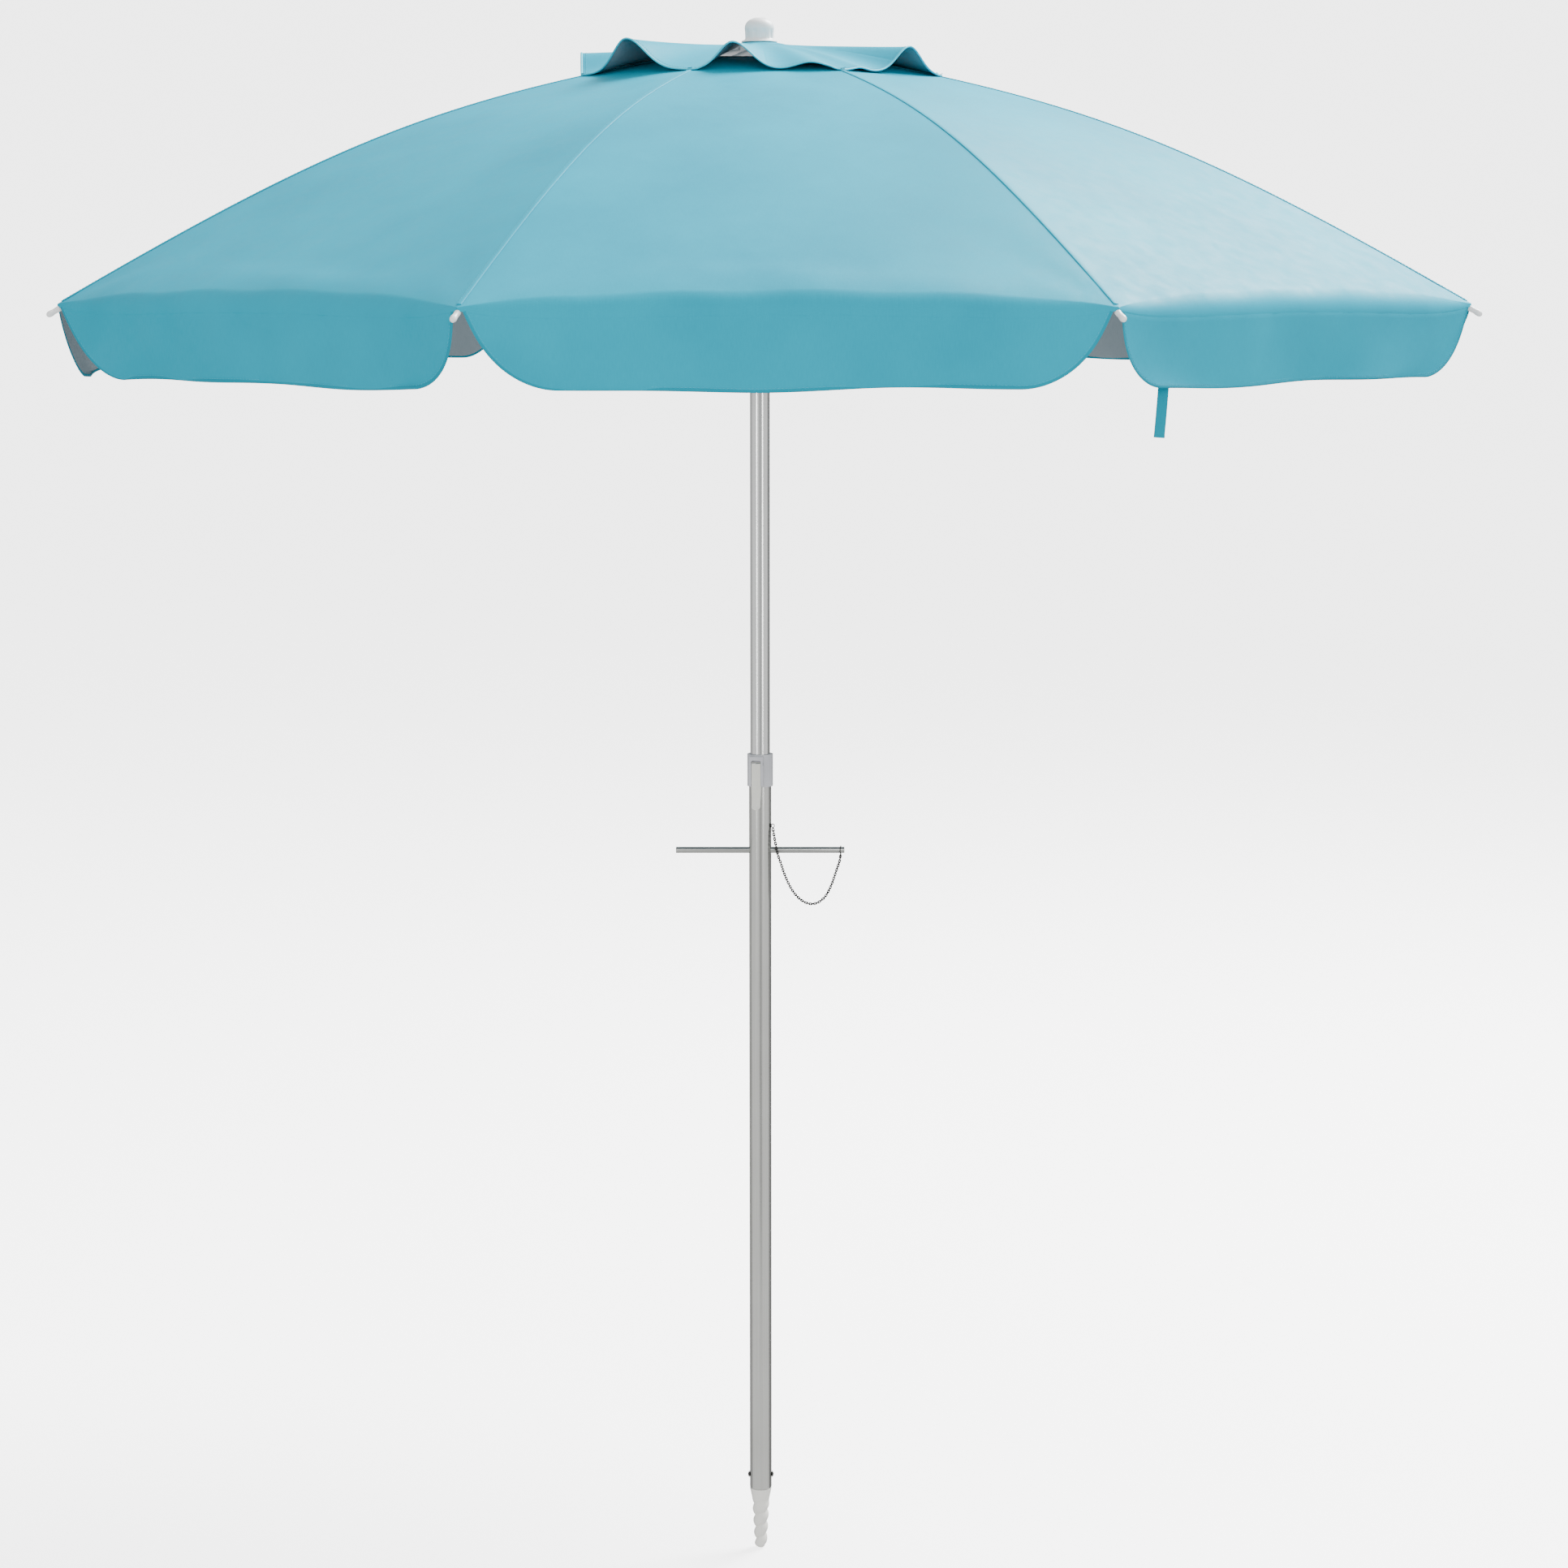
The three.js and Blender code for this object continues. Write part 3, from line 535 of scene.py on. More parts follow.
def make_camera():
    camera = bpy.data.cameras.new("camera")
    camera.sensor_width = 36.0
    camera.lens = 81.34
    holder = linked("camera", camera)
    holder.location = (0.034, -5.0, 1.852)
    holder.rotation_euler = (radians(81.83), 0, 0)
    bpy.context.scene.camera = holder


def area_light(name, place, target, size, power):
    light = bpy.data.lights.new(name, "AREA")
    light.shape = "RECTANGLE"
    light.size, light.size_y = size
    light.energy = power
    holder = linked(name, light)
    holder.location = place
    holder.rotation_euler = (Vector(target) - Vector(place)).to_track_quat("-Z", "Y").to_euler()


def make_lights():
    area_light("key", (3.3, 2.7, 6.2), (0.2, 0, 1.9), (3.2, 3.2), 1700)
    area_light("fill", (1.5, -5.5, 3.2), (0, 0, 1.6), (3.0, 2.0), 60)
    area_light("strip_left", (-2.7, -3.7, 1.9), (0, 0, 1.3), (0.5, 2.8), 30)
    area_light("strip_right", (2.5, -3.9, 1.9), (0, 0, 1.3), (0.5, 2.8), 30)
    world = bpy.data.worlds.new("studio")
    world.use_nodes = True
    sky = world.node_tree.nodes["Background"].inputs
    sky["Color"].default_value = (1, 1, 1, 1)
    sky["Strength"].default_value = 1.05
    bpy.context.scene.world = world


def staged(obj, camera, glossy):
    """A part of the studio that only shows to some rays, so it doesn't change the light."""
    obj.visible_camera = camera
    obj.visible_glossy = glossy
    obj.visible_diffuse = False
    obj.visible_transmission = False
    obj.visible_shadow = False


def pale_finish(name, glow):
    f = Finish(name, Roughness=0.8, Emission_Strength=glow)
    f.set("Base Color", f.between(f.noise(0.6), (0.94, 0.94, 0.94), (0.97, 0.97, 0.97)))
    f.set("Emission Color", f.between(f.noise(0.05), (0.97, 0.97, 0.97), (1, 1, 1)))
    return f.material


def make_floor():
    """A pale floor that fades into a pale surround."""
    corners = [(-5e4, -5e4, 0), (5e4, -5e4, 0), (5e4, 5e4, 0), (-5e4, 5e4, 0)]
    staged(piece("floor", corners, [(0, 1, 2, 3)], pale_finish("pale_floor", 3.2)), True, False)
    shell = [(0, -5e4), (3e4, -4e4), (5e4, 0), (3e4, 4e4), (0, 5e4)]
    staged(turned("surround", shell, pale_finish("pale_surround", 3.2)), True, False)


def make_card(name, place, width):
    """A dark card that only shows in the metal, as in a product studio."""
    low, high = -2200, 2500
    f = Finish(name, Roughness=0.9)
    f.set("Base Color", f.between(f.noise(2.0), (0.24, 0.24, 0.24), (0.28, 0.28, 0.28)))
    base = Vector((*place, low))
    side = Vector((-base.y, base.x, 0)).normalized() * width / 2
    corners = [base - side, base + side, base + side + UP * (high - low), base - side + UP * (high - low)]
    staged(piece(name, corners, [(0, 1, 2, 3)], f.material), False, True)


make_camera()
make_lights()
make_floor()
make_card("card_left", (-1950, 2100), 4400)
make_card("card_right", (1950, 2100), 4400)
make_card("card_front", (500, -5600), 2600)


# ---- Chain and turning bar ----


def link_of_chain(centre, along, side):
    """Points and faces of one round-ended wire link."""
    around, sides = 14, 6
    cross = along.cross(side)
    half = CHAIN_WIDTH / 2 - CHAIN_WIRE
    straight = (LINK_LENGTH - CHAIN_WIDTH) / 2
    ring = [(c + (straight if c > 0 else -straight), d) for c, d in circle(around, half)]
    loop = [centre + along * c + side * d for c, d in ring]
    points = []
    for s, p in enumerate(loop):
        run = (loop[(s + 1) % around] - loop[s - 1]).normalized()
        out = (p - centre).normalized()
        out = (out - run * out.dot(run)).normalized()
        points += [p + out * c + cross * d for c, d in circle(sides, CHAIN_WIRE)]
    faces = grid_faces(sides, around, wrap=True)
    return points, [[n % len(points) for n in face] for face in faces]


def curved_route(knots, steps=8):
    """A smooth line through the knots."""
    knots = [Vector(p) for p in knots]
    ends = [2 * knots[0] - knots[1], *knots, 2 * knots[-1] - knots[-2]]
    line = []
    for a, b, c, d in zip(ends, ends[1:], ends[2:], ends[3:]):
        for t in (s / steps for s in range(steps)):
            bend = (2 * a - 5 * b + 4 * c - d) * t * t + (3 * b - a - 3 * c + d) * t ** 3
            line.append(0.5 * (2 * b + (c - a) * t + bend))
    return line + [knots[-1]]


def make_chain():
    line = curved_route(CHAIN_ROUTE)
    length = sum((b - a).length for a, b in zip(line, line[1:]))
    count = round(length / LINK_PITCH)
    points, faces = [], []
    side = Vector((0, 1, 0))
    for i, (centre, along) in enumerate(resampled(line, length / count)[:count]):
        side = (side - along * side.dot(along)).normalized()
        more, rings = link_of_chain(centre, along, side if i % 2 else along.cross(side))
        faces += [[len(points) + n for n in face] for face in rings]
        points += more
    chain = repaired(piece("link_chain", points, faces, dark_steel, 80))
    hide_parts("chain")
    metres(CHAIN_ROUTE[0])
    metres(CHAIN_ROUTE[-1])
    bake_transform(chain)
    return chain, line, length


def make_bar_ring():
    """A split ring through the bar's cross hole, with the chain's last link in it."""
    low, high = BAR_HEIGHT - BAR_RADIUS - 6.5, BAR_HEIGHT + BAR_RADIUS + 1.2
    middle, reach = (low + high) / 2, (high - low) / 2
    loop = []
    for s in range(40):
        a = tau * s / 40
        wide = 5.4 * abs(sin(a)) ** 0.7 * copysign(1, sin(a))
        loop.append((RING_HOLE + wide * 0.12, wide, middle - reach * cos(a)))
    ring = swept("bar_ring", loop, 0.6, dark_steel, 10, closed=True)
    return fitted(ring, "turning_bar", "chain_steel")


def make_bar():
    start, end = ((x, 0, BAR_HEIGHT) for x in (BAR_LOW.x, BAR_HIGH.x))
    bar = rounded_bar("bar_rod", start, end, BAR_RADIUS, steel, 40, 0.6)
    hole = rounded_bar("cut", (RING_HOLE, 0, BAR_HEIGHT - 9), (RING_HOLE, 0, BAR_HEIGHT + 9), 1.7, steel, 20)
    bores = [
        rounded_bar("cut", (x - 8, 0, BAR_HEIGHT), (x + 8, 0, BAR_HEIGHT), 3.2, steel, 32, 0.1)
        for x in (BAR_LOW.x - 2, BAR_HIGH.x + 2)
    ]
    return fitted(carved(bar, hole, *bores), "turning_bar", "steel", "turning_bar")


def make_eyelet():
    """A wire eye on a shank, with a pressed washer against the tube."""
    centre = LOWER_RADIUS + 3.2

    def stub(name, start, end, radius, sides, ease=0.5):
        ends = [(x, 0, EYELET_HEIGHT) for x in (start, end)]
        return rounded_bar(name, *ends, radius, dark_steel, sides, ease)

    eye = [(centre + c, 0, EYELET_HEIGHT + d) for c, d in circle(28, 2.4)]
    ring = swept("eye", eye, 0.7, dark_steel, 12, closed=True)
    shank = stub("shank", LOWER_RADIUS - 0.9, centre - 2, 1.3, 20)
    washer = stub("washer", LOWER_RADIUS + 0.2, LOWER_RADIUS + 1, 2.7, 28, 0.3)
    whole = joined("eyelet_wire", [ring, shank, washer])
    return fitted(spun(whole, EYELET_AZIMUTH), "pole", "chain_steel", "chain_eyelet")


chain, chain_line, chain_length = make_chain()
bar_ring = make_bar_ring()
eyelet = make_eyelet()
metres(CHAIN_ROUTE[0])
[metres(p) for p in chain_line]
make_bar()


# ---- Poles, anchor and rivet ----


def radial_cut(radius, length, height, azimuth=0.0, start=0.0):
    """A level round cutter that points out from the pole."""
    cutter = rounded_bar("cut", (start, 0, height), (start + length, 0, height), radius, steel, 32, 0.05)
    return spun(cutter, azimuth)


def make_lower_pole():
    """The tube is rolled in a little at its foot, over the anchor's plug."""
    inner, outer, foot, top = LOWER_RADIUS - 1, LOWER_RADIUS, LOWER_FOOT, LOWER_TOP
    profile = [
        (inner, foot + 1), (inner + 0.2, foot), (outer - 1.1, foot), (outer - 0.4, foot + 0.7),
        (outer, foot + 2.4), (outer, top - 0.4), (outer - 0.4, top), (inner + 0.2, top),
        (inner, top - 0.4), (inner, foot + 1),
    ]
    tube = turned("lower_tube", profile, satin_tube, 96)
    carved(
        tube,
        radial_cut(BAR_RADIUS + CLEAR, 60, BAR_HEIGHT, start=-30),
        radial_cut(RIVET_HOLE, 60, BOLT_HEIGHT, start=-30),
        radial_cut(1.6, 30, EYELET_HEIGHT, EYELET_AZIMUTH),
    )
    fitted(tube, "pole", "pole_aluminium", "lower_pole")


def anchor_radius(height, angle):
    """A right-handed round thread with sharp grooves, which dies out towards the pole."""
    turn = (height - 68) / 18 + 0.5 - angle / tau
    lobe = abs(sin(pi * turn)) ** 0.8
    valley = mix(5.4, 9.4, height / 68)
    root = mix(11.8, LOWER_RADIUS - 0.2, min(1.0, max(0.0, (height - 70) / 21)) ** 1.2)
    thread = valley + mix(3.5, 3.1, height / 70) * lobe
    radius = mix(thread, root, smooth((height - 62) / 17))
    tip = max(0.0, min(1.0, (height + 0.2) / 8))
    return radius * sqrt(max(0.0, 1 - (1 - tip) ** 2))


def make_anchor():
    sides, rows = 72, 150
    top = LOWER_FOOT - CLEAR
    points = [(0, 0, 0.15)]
    for j in range(rows + 1):
        height = 0.25 + (top - 0.25) * (j / rows) ** 1.1
        for s, (c, d) in enumerate(circle(sides)):
            r = anchor_radius(height, tau * s / sides)
            points.append((r * c, r * d, height))
    faces = [(0, 1 + (s + 1) % sides, 1 + s) for s in range(sides)]
    faces += [[i + 1 for i in face] for face in grid_faces(sides, rows, wrap=True)]
    faces += [[1 + rows * sides + s for s in range(sides)]]
    screw = piece("anchor_screw", points, faces, anchor_plastic, 30)
    stem = [(0, top - 4), (14.7, top - 4), (14.7, top + 55), (13.7, top + 56), (0, top + 56)]
    plug = carved(turned("plug", stem, anchor_plastic), radial_cut(RIVET_HOLE, 60, BOLT_HEIGHT, start=-30))
    lip = [(12, top - 1.6), (15.4, top - 1.6), (15.7, top - 1.2), (15.7, top - 0.1), (12, top - 0.1)]
    ring = turned("ring", lip, anchor_plastic)
    fitted(joined("anchor_moulding", [screw, plug, ring]), "pole", "anchor_plastic", "sand_anchor")


def make_rivet():
    reach, seat = BOLT_REACH, LOWER_RADIUS + CLEAR
    half = [
        (0, reach), (1.6, reach - 0.15), (3.2, reach - 0.75), (4.4, reach - 1.7),
        (4.9, seat + 0.5), (4.9, seat), (3, seat),
    ]
    rivet = turned("rivet", half + [(r, -z) for r, z in reversed(half)], dark_steel, 40)
    fitted(placed(rivet, (0, 0, BOLT_HEIGHT), pi / 2, "Y"), "pole", "steel", "anchor_bolt")


def straight_tube(name, low, high):
    """A bright tube with eased ends."""
    inner, outer, ease = BORE, UPPER_RADIUS, 0.35
    profile = [
        (inner, low + ease), (inner + ease, low), (outer - ease, low), (outer, low + ease),
        (outer, high - ease), (outer - ease, high), (inner + ease, high), (inner, high - ease),
        (inner, low + ease),
    ]
    return turned(name, profile, bright_tube, 96)


def make_upper_pole():
    tube = straight_tube("upper_tube", UPPER_FOOT, UPPER_TOP)
    carved(tube, radial_cut(BUTTON_HOLE, 20, BUTTON_HEIGHT, -pi / 2, 5))
    fitted(tube, "upper_pole", "pole_aluminium", "upper_pole")


def make_mast():
    fitted(straight_tube("mast", MAST_BOTTOM, MAST_TOP), "mast", "pole_aluminium", "mast_tube")


make_lower_pole()
make_anchor()
make_rivet()
make_upper_pole()
make_mast()


# ---- Clamp ----


def upright_block(name, x, y, z, material):
    """A box from (low, high) pairs."""
    outline = [(x[0], y[0]), (x[1], y[0]), (x[1], y[1]), (x[0], y[1])]
    return prism(name, outline, *z, material)


def cross_bar(name, radius, reach, material):
    """A bar along the lever pin's axis."""
    start, end = (Vector((x, -PIN_DEPTH, PIN_HEIGHT)) for x in (-reach, reach))
    return rounded_bar(name, start, end, radius, material, 40, 0.3)


def make_collar():
    """A split sleeve with two ears, a clamping slit at the back and a lip round the upper tube."""
    bore, lip, step, grey = LOWER_RADIUS + CLEAR, UPPER_RADIUS + CLEAR, LOWER_TOP + CLEAR, grey_plastic
    sleeve = turned("collar", [
        (bore, COLLAR_LOW), (18.3, COLLAR_LOW), (18.3, COLLAR_HIGH), (lip, COLLAR_HIGH),
        (lip, step), (bore, step), (bore, COLLAR_LOW),
    ], grey, 96)
    ears = upright_block("ears", (-10, 10), (-23.2, -16.6), (COLLAR_LOW + 2, COLLAR_HIGH - 2), grey)
    carved(sleeve, ears, how="UNION")
    channel = upright_block("cut", (-7.3, 7.3), (-30, -18.1), (COLLAR_LOW - 4, PIN_HEIGHT + 4), grey)
    hole = cross_bar("cut", 2.1, 15, grey)
    inside = column("cut", bore, COLLAR_LOW - 1, step, grey, 96)
    slit = upright_block("cut", (-0.6, 0.6), (14, 25), (COLLAR_LOW - 1, COLLAR_HIGH + 1), grey)
    window = upright_block("cut", (-5.6, 5.6), (-30, -16.9), (PIN_HEIGHT + 2.2, PIN_HEIGHT + 4.6), grey)
    carved(sleeve, channel, hole, inside, slit, window)
    softened(repaired(sleeve), 0.45, 3)
    fitted(spun(sleeve, CLAMP_TURN), "pole", "collar_plastic", "lock_collar")


def make_lever():
    """A thin lever with a thumb pad kicked out at its foot and a raised rib down each edge."""
    half, steps, sides = 2.2, 40, 24
    points = []
    for j in range(steps + 1):
        z = mix(PIN_HEIGHT + half, LEVER_FOOT, j / steps)
        kick = 2.4 * smooth((COLLAR_LOW - 10 - z) / 24)
        width = mix(7.0, 6.2, smooth((COLLAR_LOW + 2 - z) / 26))
        foot = (z - LEVER_FOOT) / 4.5
        if foot < 1:
            width *= sqrt(max(0.06, 1 - (1 - foot) ** 2))
        top = (PIN_HEIGHT + half - z) / half
        thick = half * (sqrt(max(0.02, 1 - (1 - top) ** 2)) if top < 1 else 1)
        bead = 0.5 * exp(-(((z - LEVER_FOOT - 2) / 1.8) ** 2))
        thick *= mix(1, 0.62, smooth((COLLAR_LOW - 4 - z) / 30)) + bead
        for c, d in circle(sides):
            x = width * copysign(abs(c) ** 0.35, c)
            y = thick * copysign(abs(d) ** 0.35, d)
            dish = 0.5 * (1 - (x / width) ** 2) if d < 0 and width > 3 else 0
            points.append((x, -PIN_DEPTH + y - kick + dish, z))
    faces = grid_faces(sides, steps, wrap=True)
    faces += [list(range(sides)), [steps * sides + s for s in range(sides)][::-1]]
    lever = repaired(piece("flip_lever", points, faces, cream_plastic, 50))
    fitted(spun(lever, CLAMP_TURN), "lock_lever", "lever_plastic", "lock_lever")


def make_lever_pin():
    fitted(spun(cross_bar("pin", 1.8, 9.8, steel), CLAMP_TURN), "pole", "steel", "lever_pin")


make_collar()
make_lever()
make_lever_pin()


# ---- Tilt joint ----

PLUG = BORE - CLEAR
DISC = 12.0
TILT_PIVOT = UP * TILT_HEIGHT


def rod_along_y(name, radius, reach, centre, material, sides=64, ease=0.4):
    """A round bar across the pole, reach to either side of its centre."""
    centre, side = Vector(centre), Vector((0, reach, 0))
    return rounded_bar(name, centre - side, centre + side, radius, material, sides, ease)


def make_tilt_socket():
    """Two round cheeks on a plug in the upper tube, with the pivot's riveted pin."""
    seat, grey = UPPER_TOP + CLEAR, grey_plastic
    cheeks = rod_along_y("socket", DISC, UPPER_RADIUS, TILT_PIVOT, grey)
    carved(cheeks, column("cut", UPPER_RADIUS, seat, TILT_HEIGHT + 20, grey), how="INTERSECT")
    base = column("base", UPPER_RADIUS, seat, TILT_HEIGHT - 0.5, grey)
    carved(cheeks, base, column("plug", PLUG, UPPER_TOP - 44, seat + 1, grey), how="UNION")
    slot = upright_block("cut", (-20, 20), (-5, 5), (TILT_HEIGHT - DISC - 1, TILT_HEIGHT + 30), grey)
    carved(cheeks, slot, radial_cut(BUTTON_HOLE, 20, BUTTON_HEIGHT, -pi / 2, 4))
    softened(repaired(cheeks), 0.5, 3)
    fitted(cheeks, "upper_pole", "collar_plastic", "tilt_socket")
    half = [(2.5, 11.1), (3.1, 11.4), (2.9, 12), (1.6, 12.5), (0, 12.6)]
    pin = turned("tilt_pin", [(r, -z) for r, z in reversed(half)] + half, steel, 32)
    fitted(placed(pin, TILT_PIVOT, pi / 2), "upper_pole", "steel")


def make_tilt_knuckle():
    seat, top, grey = TILT_HEIGHT + DISC + 1, MAST_BOTTOM - CLEAR, grey_plastic
    tongue = rod_along_y("knuckle", DISC - 0.5, 4.7, TILT_PIVOT, grey)
    neck = upright_block("neck", (0.5 - DISC, DISC - 0.5), (-4.7, 4.7), (TILT_HEIGHT, seat + 1), grey)
    shoulder = column("shoulder", UPPER_RADIUS, seat, top, grey)
    carved(tongue, neck, shoulder, column("plug", PLUG, top - 1, MAST_BOTTOM + 40, grey), how="UNION")
    carved(tongue, rod_along_y("cut", 2.8, 20, TILT_PIVOT, grey, 32))
    softened(repaired(tongue), 0.5, 3)
    fitted(tongue, "mast", "collar_plastic", "tilt_knuckle")


def sprung_button(name, radius, body):
    """A round push button with a domed face, out along -Y. Its body and CAD node share a name."""
    low, high = box_mm(body)
    face, back = -low.y, -high.y
    profile = [
        (0, face), (radius * 0.45, face - 0.15), (radius * 0.8, face - 0.7), (radius, face - 1.8),
        (radius, back + 0.3), (radius - 0.3, back), (0, back),
    ]
    button = turned(name, profile, cream_plastic, 40)
    fitted(placed(button, (0, 0, (low.z + high.z) / 2), pi / 2), body, "lever_plastic", body)


make_tilt_socket()
make_tilt_knuckle()
sprung_button("tilt_push", 3.4, "tilt_button")
sprung_button("runner_push", 4.0, "runner_button")


# ---- Crown, finial and runner ----


def slotted_outline(outer, floor, half_slot):
    """A round outline with a slot at each rib."""
    outline = []
    for k in range(1, RIBS + 1):
        centre = rib_azimuth(k)
        for reach, side in ((floor, -1), (floor, 1)):
            a = centre + side * asin(half_slot / reach)
            outline.append((reach * cos(a), reach * sin(a)))
        edge = asin(half_slot / outer)
        for s in range(9):
            a = mix(centre + edge, centre + GORE_ANGLE - edge, s / 8)
            outline.append((outer * cos(a), outer * sin(a)))
    return outline


def ring_of_wire(name, radius, height, body):
    loop = [(x, y, height) for x, y in circle(96, radius)]
    return fitted(swept(name, loop, 0.75, steel, 10, closed=True), body, "steel")


def make_crown():
    hub = prism("crown_hub", slotted_outline(CROWN_RADIUS, 14.5, 3), CROWN_LOW, CROWN_HIGH, white_plastic)
    carved(hub, column("plug", PLUG, MAST_TOP - 38, CROWN_LOW + 1, white_plastic), how="UNION")
    carved(hub, column("cut", 5.3, CROWN_HIGH - 36, CROWN_HIGH + 1, white_plastic, 40))
    softened(repaired(hub), 0.6, 3)
    fitted(hub, "mast", "white_plastic", "crown")
    ring_of_wire("crown_ring", RIB_PIVOT.x, RIB_PIVOT.z, "mast")


def make_finial():
    """A cap with shallow flutes round its lower part and a round shoulder."""
    base, top = FLANGE_BASE, FINIAL_TOP
    cap = [
        (24.2, 0), (24.9, 0.5), (25, 1.4), (24.4, 2.2), (21.6, 3.1), (20.2, 4.2), (19.9, 5.5),
        (19.9, 8), (20.0, 11), (20.2, 14), (20.4, 16), (20.5, 18.2), (20.5, 19.6), (20.2, 22),
        (19.4, 24.6), (18.0, 27), (15.8, 29.4), (13, 31.2), (10, 32.4),
    ]
    stem = [(0, CROWN_HIGH - 34), (4.6, CROWN_HIGH - 34), (5, CROWN_HIGH - 33.5), (5, base)]
    profile = stem + [(r, base + z) for r, z in cap] + [(8, top - 0.25), (5, top), (0, top)]

    def flutes(radius, height, angle):
        inside = smooth((height - base - 4) / 2) * smooth((base + 18 - height) / 3)
        return -1.1 * inside * max(0.0, cos(10 * angle)) ** 0.6 if radius > 15 else 0

    fitted(turned("finial_cap", profile, white_plastic, 160, flutes), "mast", "white_plastic", "finial")


def make_runner():
    bottom, top, bore, wall, grip = RUNNER_LOW, RUNNER_HIGH, 15.2, 17.6, 19
    flange = prism("runner_sleeve", slotted_outline(28, wall, 3), top - 16, top, white_plastic)
    profile = [(bore, bottom + 0.6), (bore + 0.6, bottom), (18.3, bottom), (grip, bottom + 0.8)]
    for s in range(7):
        z = bottom + 4 + 5.4 * s
        if abs(z + 1.5 - CATCH_HEIGHT) > 6:
            profile += [(grip, z), (grip - 0.6, z + 0.8), (grip - 0.6, z + 2.2), (grip, z + 3)]
    profile += [
        (grip, bottom + 43.4), (18.6, bottom + 44), (wall, bottom + 45), (wall, top - 15),
        (wall, top), (bore + 0.6, top), (bore, top - 0.6), (bore, bottom + 0.6),
    ]
    sleeve = turned("sleeve", profile, white_plastic, 72)
    carved(flange, column("cut", bore, bottom - 1, top + 1, white_plastic))
    carved(flange, sleeve, how="UNION")
    carved(flange, radial_cut(4.3, 30, CATCH_HEIGHT, -pi / 2, 5))
    softened(repaired(flange), 0.35, 2)
    fitted(flange, "runner", "white_plastic", "runner")
    ring_of_wire("runner_ring", RUNNER_PIVOT.x, RUNNER_PIVOT.z, "runner")


make_crown()
make_finial()
make_runner()


# ---- Canopy profile ----


def profile_point(t):
    weights = ((1 - t) ** 3, 3 * t * (1 - t) ** 2, 3 * t * t * (1 - t), t ** 3)
    return tuple(sum(w * p[i] for w, p in zip(weights, PROFILE)) for i in (0, 1))


def canopy_height(radius):
    """Height of the cloth over a rib above the rib tips' level."""
    low, high = -0.05, 1.05
    for _ in range(40):
        middle = (low + high) / 2
        if profile_point(middle)[0] < radius:
            low = middle
        else:
            high = middle
    return profile_point(low)[1]


# ---- Ribs, stretchers and tip caps ----


def make_rib(k):
    """A fibreglass rod with a moulded eye at the crown and a thicker end in the tip cap."""
    line = [(r, 0, TIP_LEVEL + z - RIB_DROP) for r, z in (profile_point(s / 60) for s in range(61))]
    rod = swept("rod", line, 2.4, fibreglass, 16)
    eye = rod_along_y("eye", 4, 2, RIB_PIVOT, fibreglass, 32, 0.3)
    collar = swept("collar", line[1:4], 3.0, fibreglass, 16)
    tip = swept("tip", line[56:60], 2.7, fibreglass, 16)
    rib = spun(joined(f"rib_rod_{k}", [rod, eye, collar, tip]), rib_azimuth(k))
    fitted(rib, f"rib_{k}", "rib_fibreglass", f"rib_{k}")


JOINT = Vector((430.0, 0.0, TIP_LEVEL + canopy_height(430) - RIB_DROP - 6.5))


def make_rib_bracket(k):
    """A saddle clipped over the rib with a tab for the stretcher's fork."""
    along = Vector((20, 0, canopy_height(440) - canopy_height(420))).normalized()
    centre = JOINT + UP * 6.5
    clip = [centre + along * d for d in (-7, -6.4, 6.4, 7)]
    saddle = swept("saddle", clip, [2.7, 3.1, 3.1, 2.7], steel, 20)
    outline = arc(JOINT.x, JOINT.z, 3.2, 180, 360) + [(JOINT.x + 3.4, centre.z), (JOINT.x - 3.4, centre.z)]
    tab = plate("tab", outline, -0.8, 0.8, steel)
    pin = rod_along_y("pin", 1.3, 3.6, JOINT, steel, 20, 0.3)
    fitted(spun(joined(f"rib_bracket_{k}", [saddle, tab, pin]), rib_azimuth(k)), f"rib_{k}", "steel")


def make_stretcher(k):
    """A rod with a moulded eye at the runner and a pressed fork round the rib's tab."""
    run = JOINT - RUNNER_PIVOT
    along = run.normalized()

    def spots(*distances):
        return [RUNNER_PIVOT + along * d for d in distances]

    rod = swept("rod", spots(2, 20, 200, run.length - 11, run.length - 7), 2.2, fibreglass, 16)
    eye = rod_along_y("eye", 3.3, 2, RUNNER_PIVOT, fibreglass, 28, 0.3)
    sleeve = swept("sleeve", spots(1, 14, 15), [2.9, 2.9, 2.4], fibreglass, 16)
    strut = spun(joined(f"stretcher_rod_{k}", [rod, eye, sleeve]), rib_azimuth(k))
    fitted(strut, f"stretcher_{k}", "rib_fibreglass", f"stretcher_{k}")
    edge = [(-4, 2.5), (-9.5, 2.6), (-13, 2.2)]
    outline = arc(0, 0, 2.5, -90, 90) + edge + [(x, -z) for x, z in reversed(edge)]
    cheeks = [plate("cheek", outline, low, low + 1.4, steel) for low in (-2.6, 1.2)]
    socket = swept("socket", [(x, 0, 0) for x in (-18, -17.4, -9, -8.6)], [2.4, 2.8, 2.8, 2.5], steel, 20)
    fork = placed(joined(f"stretcher_fork_{k}", [*cheeks, socket]), JOINT, -atan2(along.z, along.x), "Y")
    fitted(spun(fork, rib_azimuth(k)), f"stretcher_{k}", "steel")


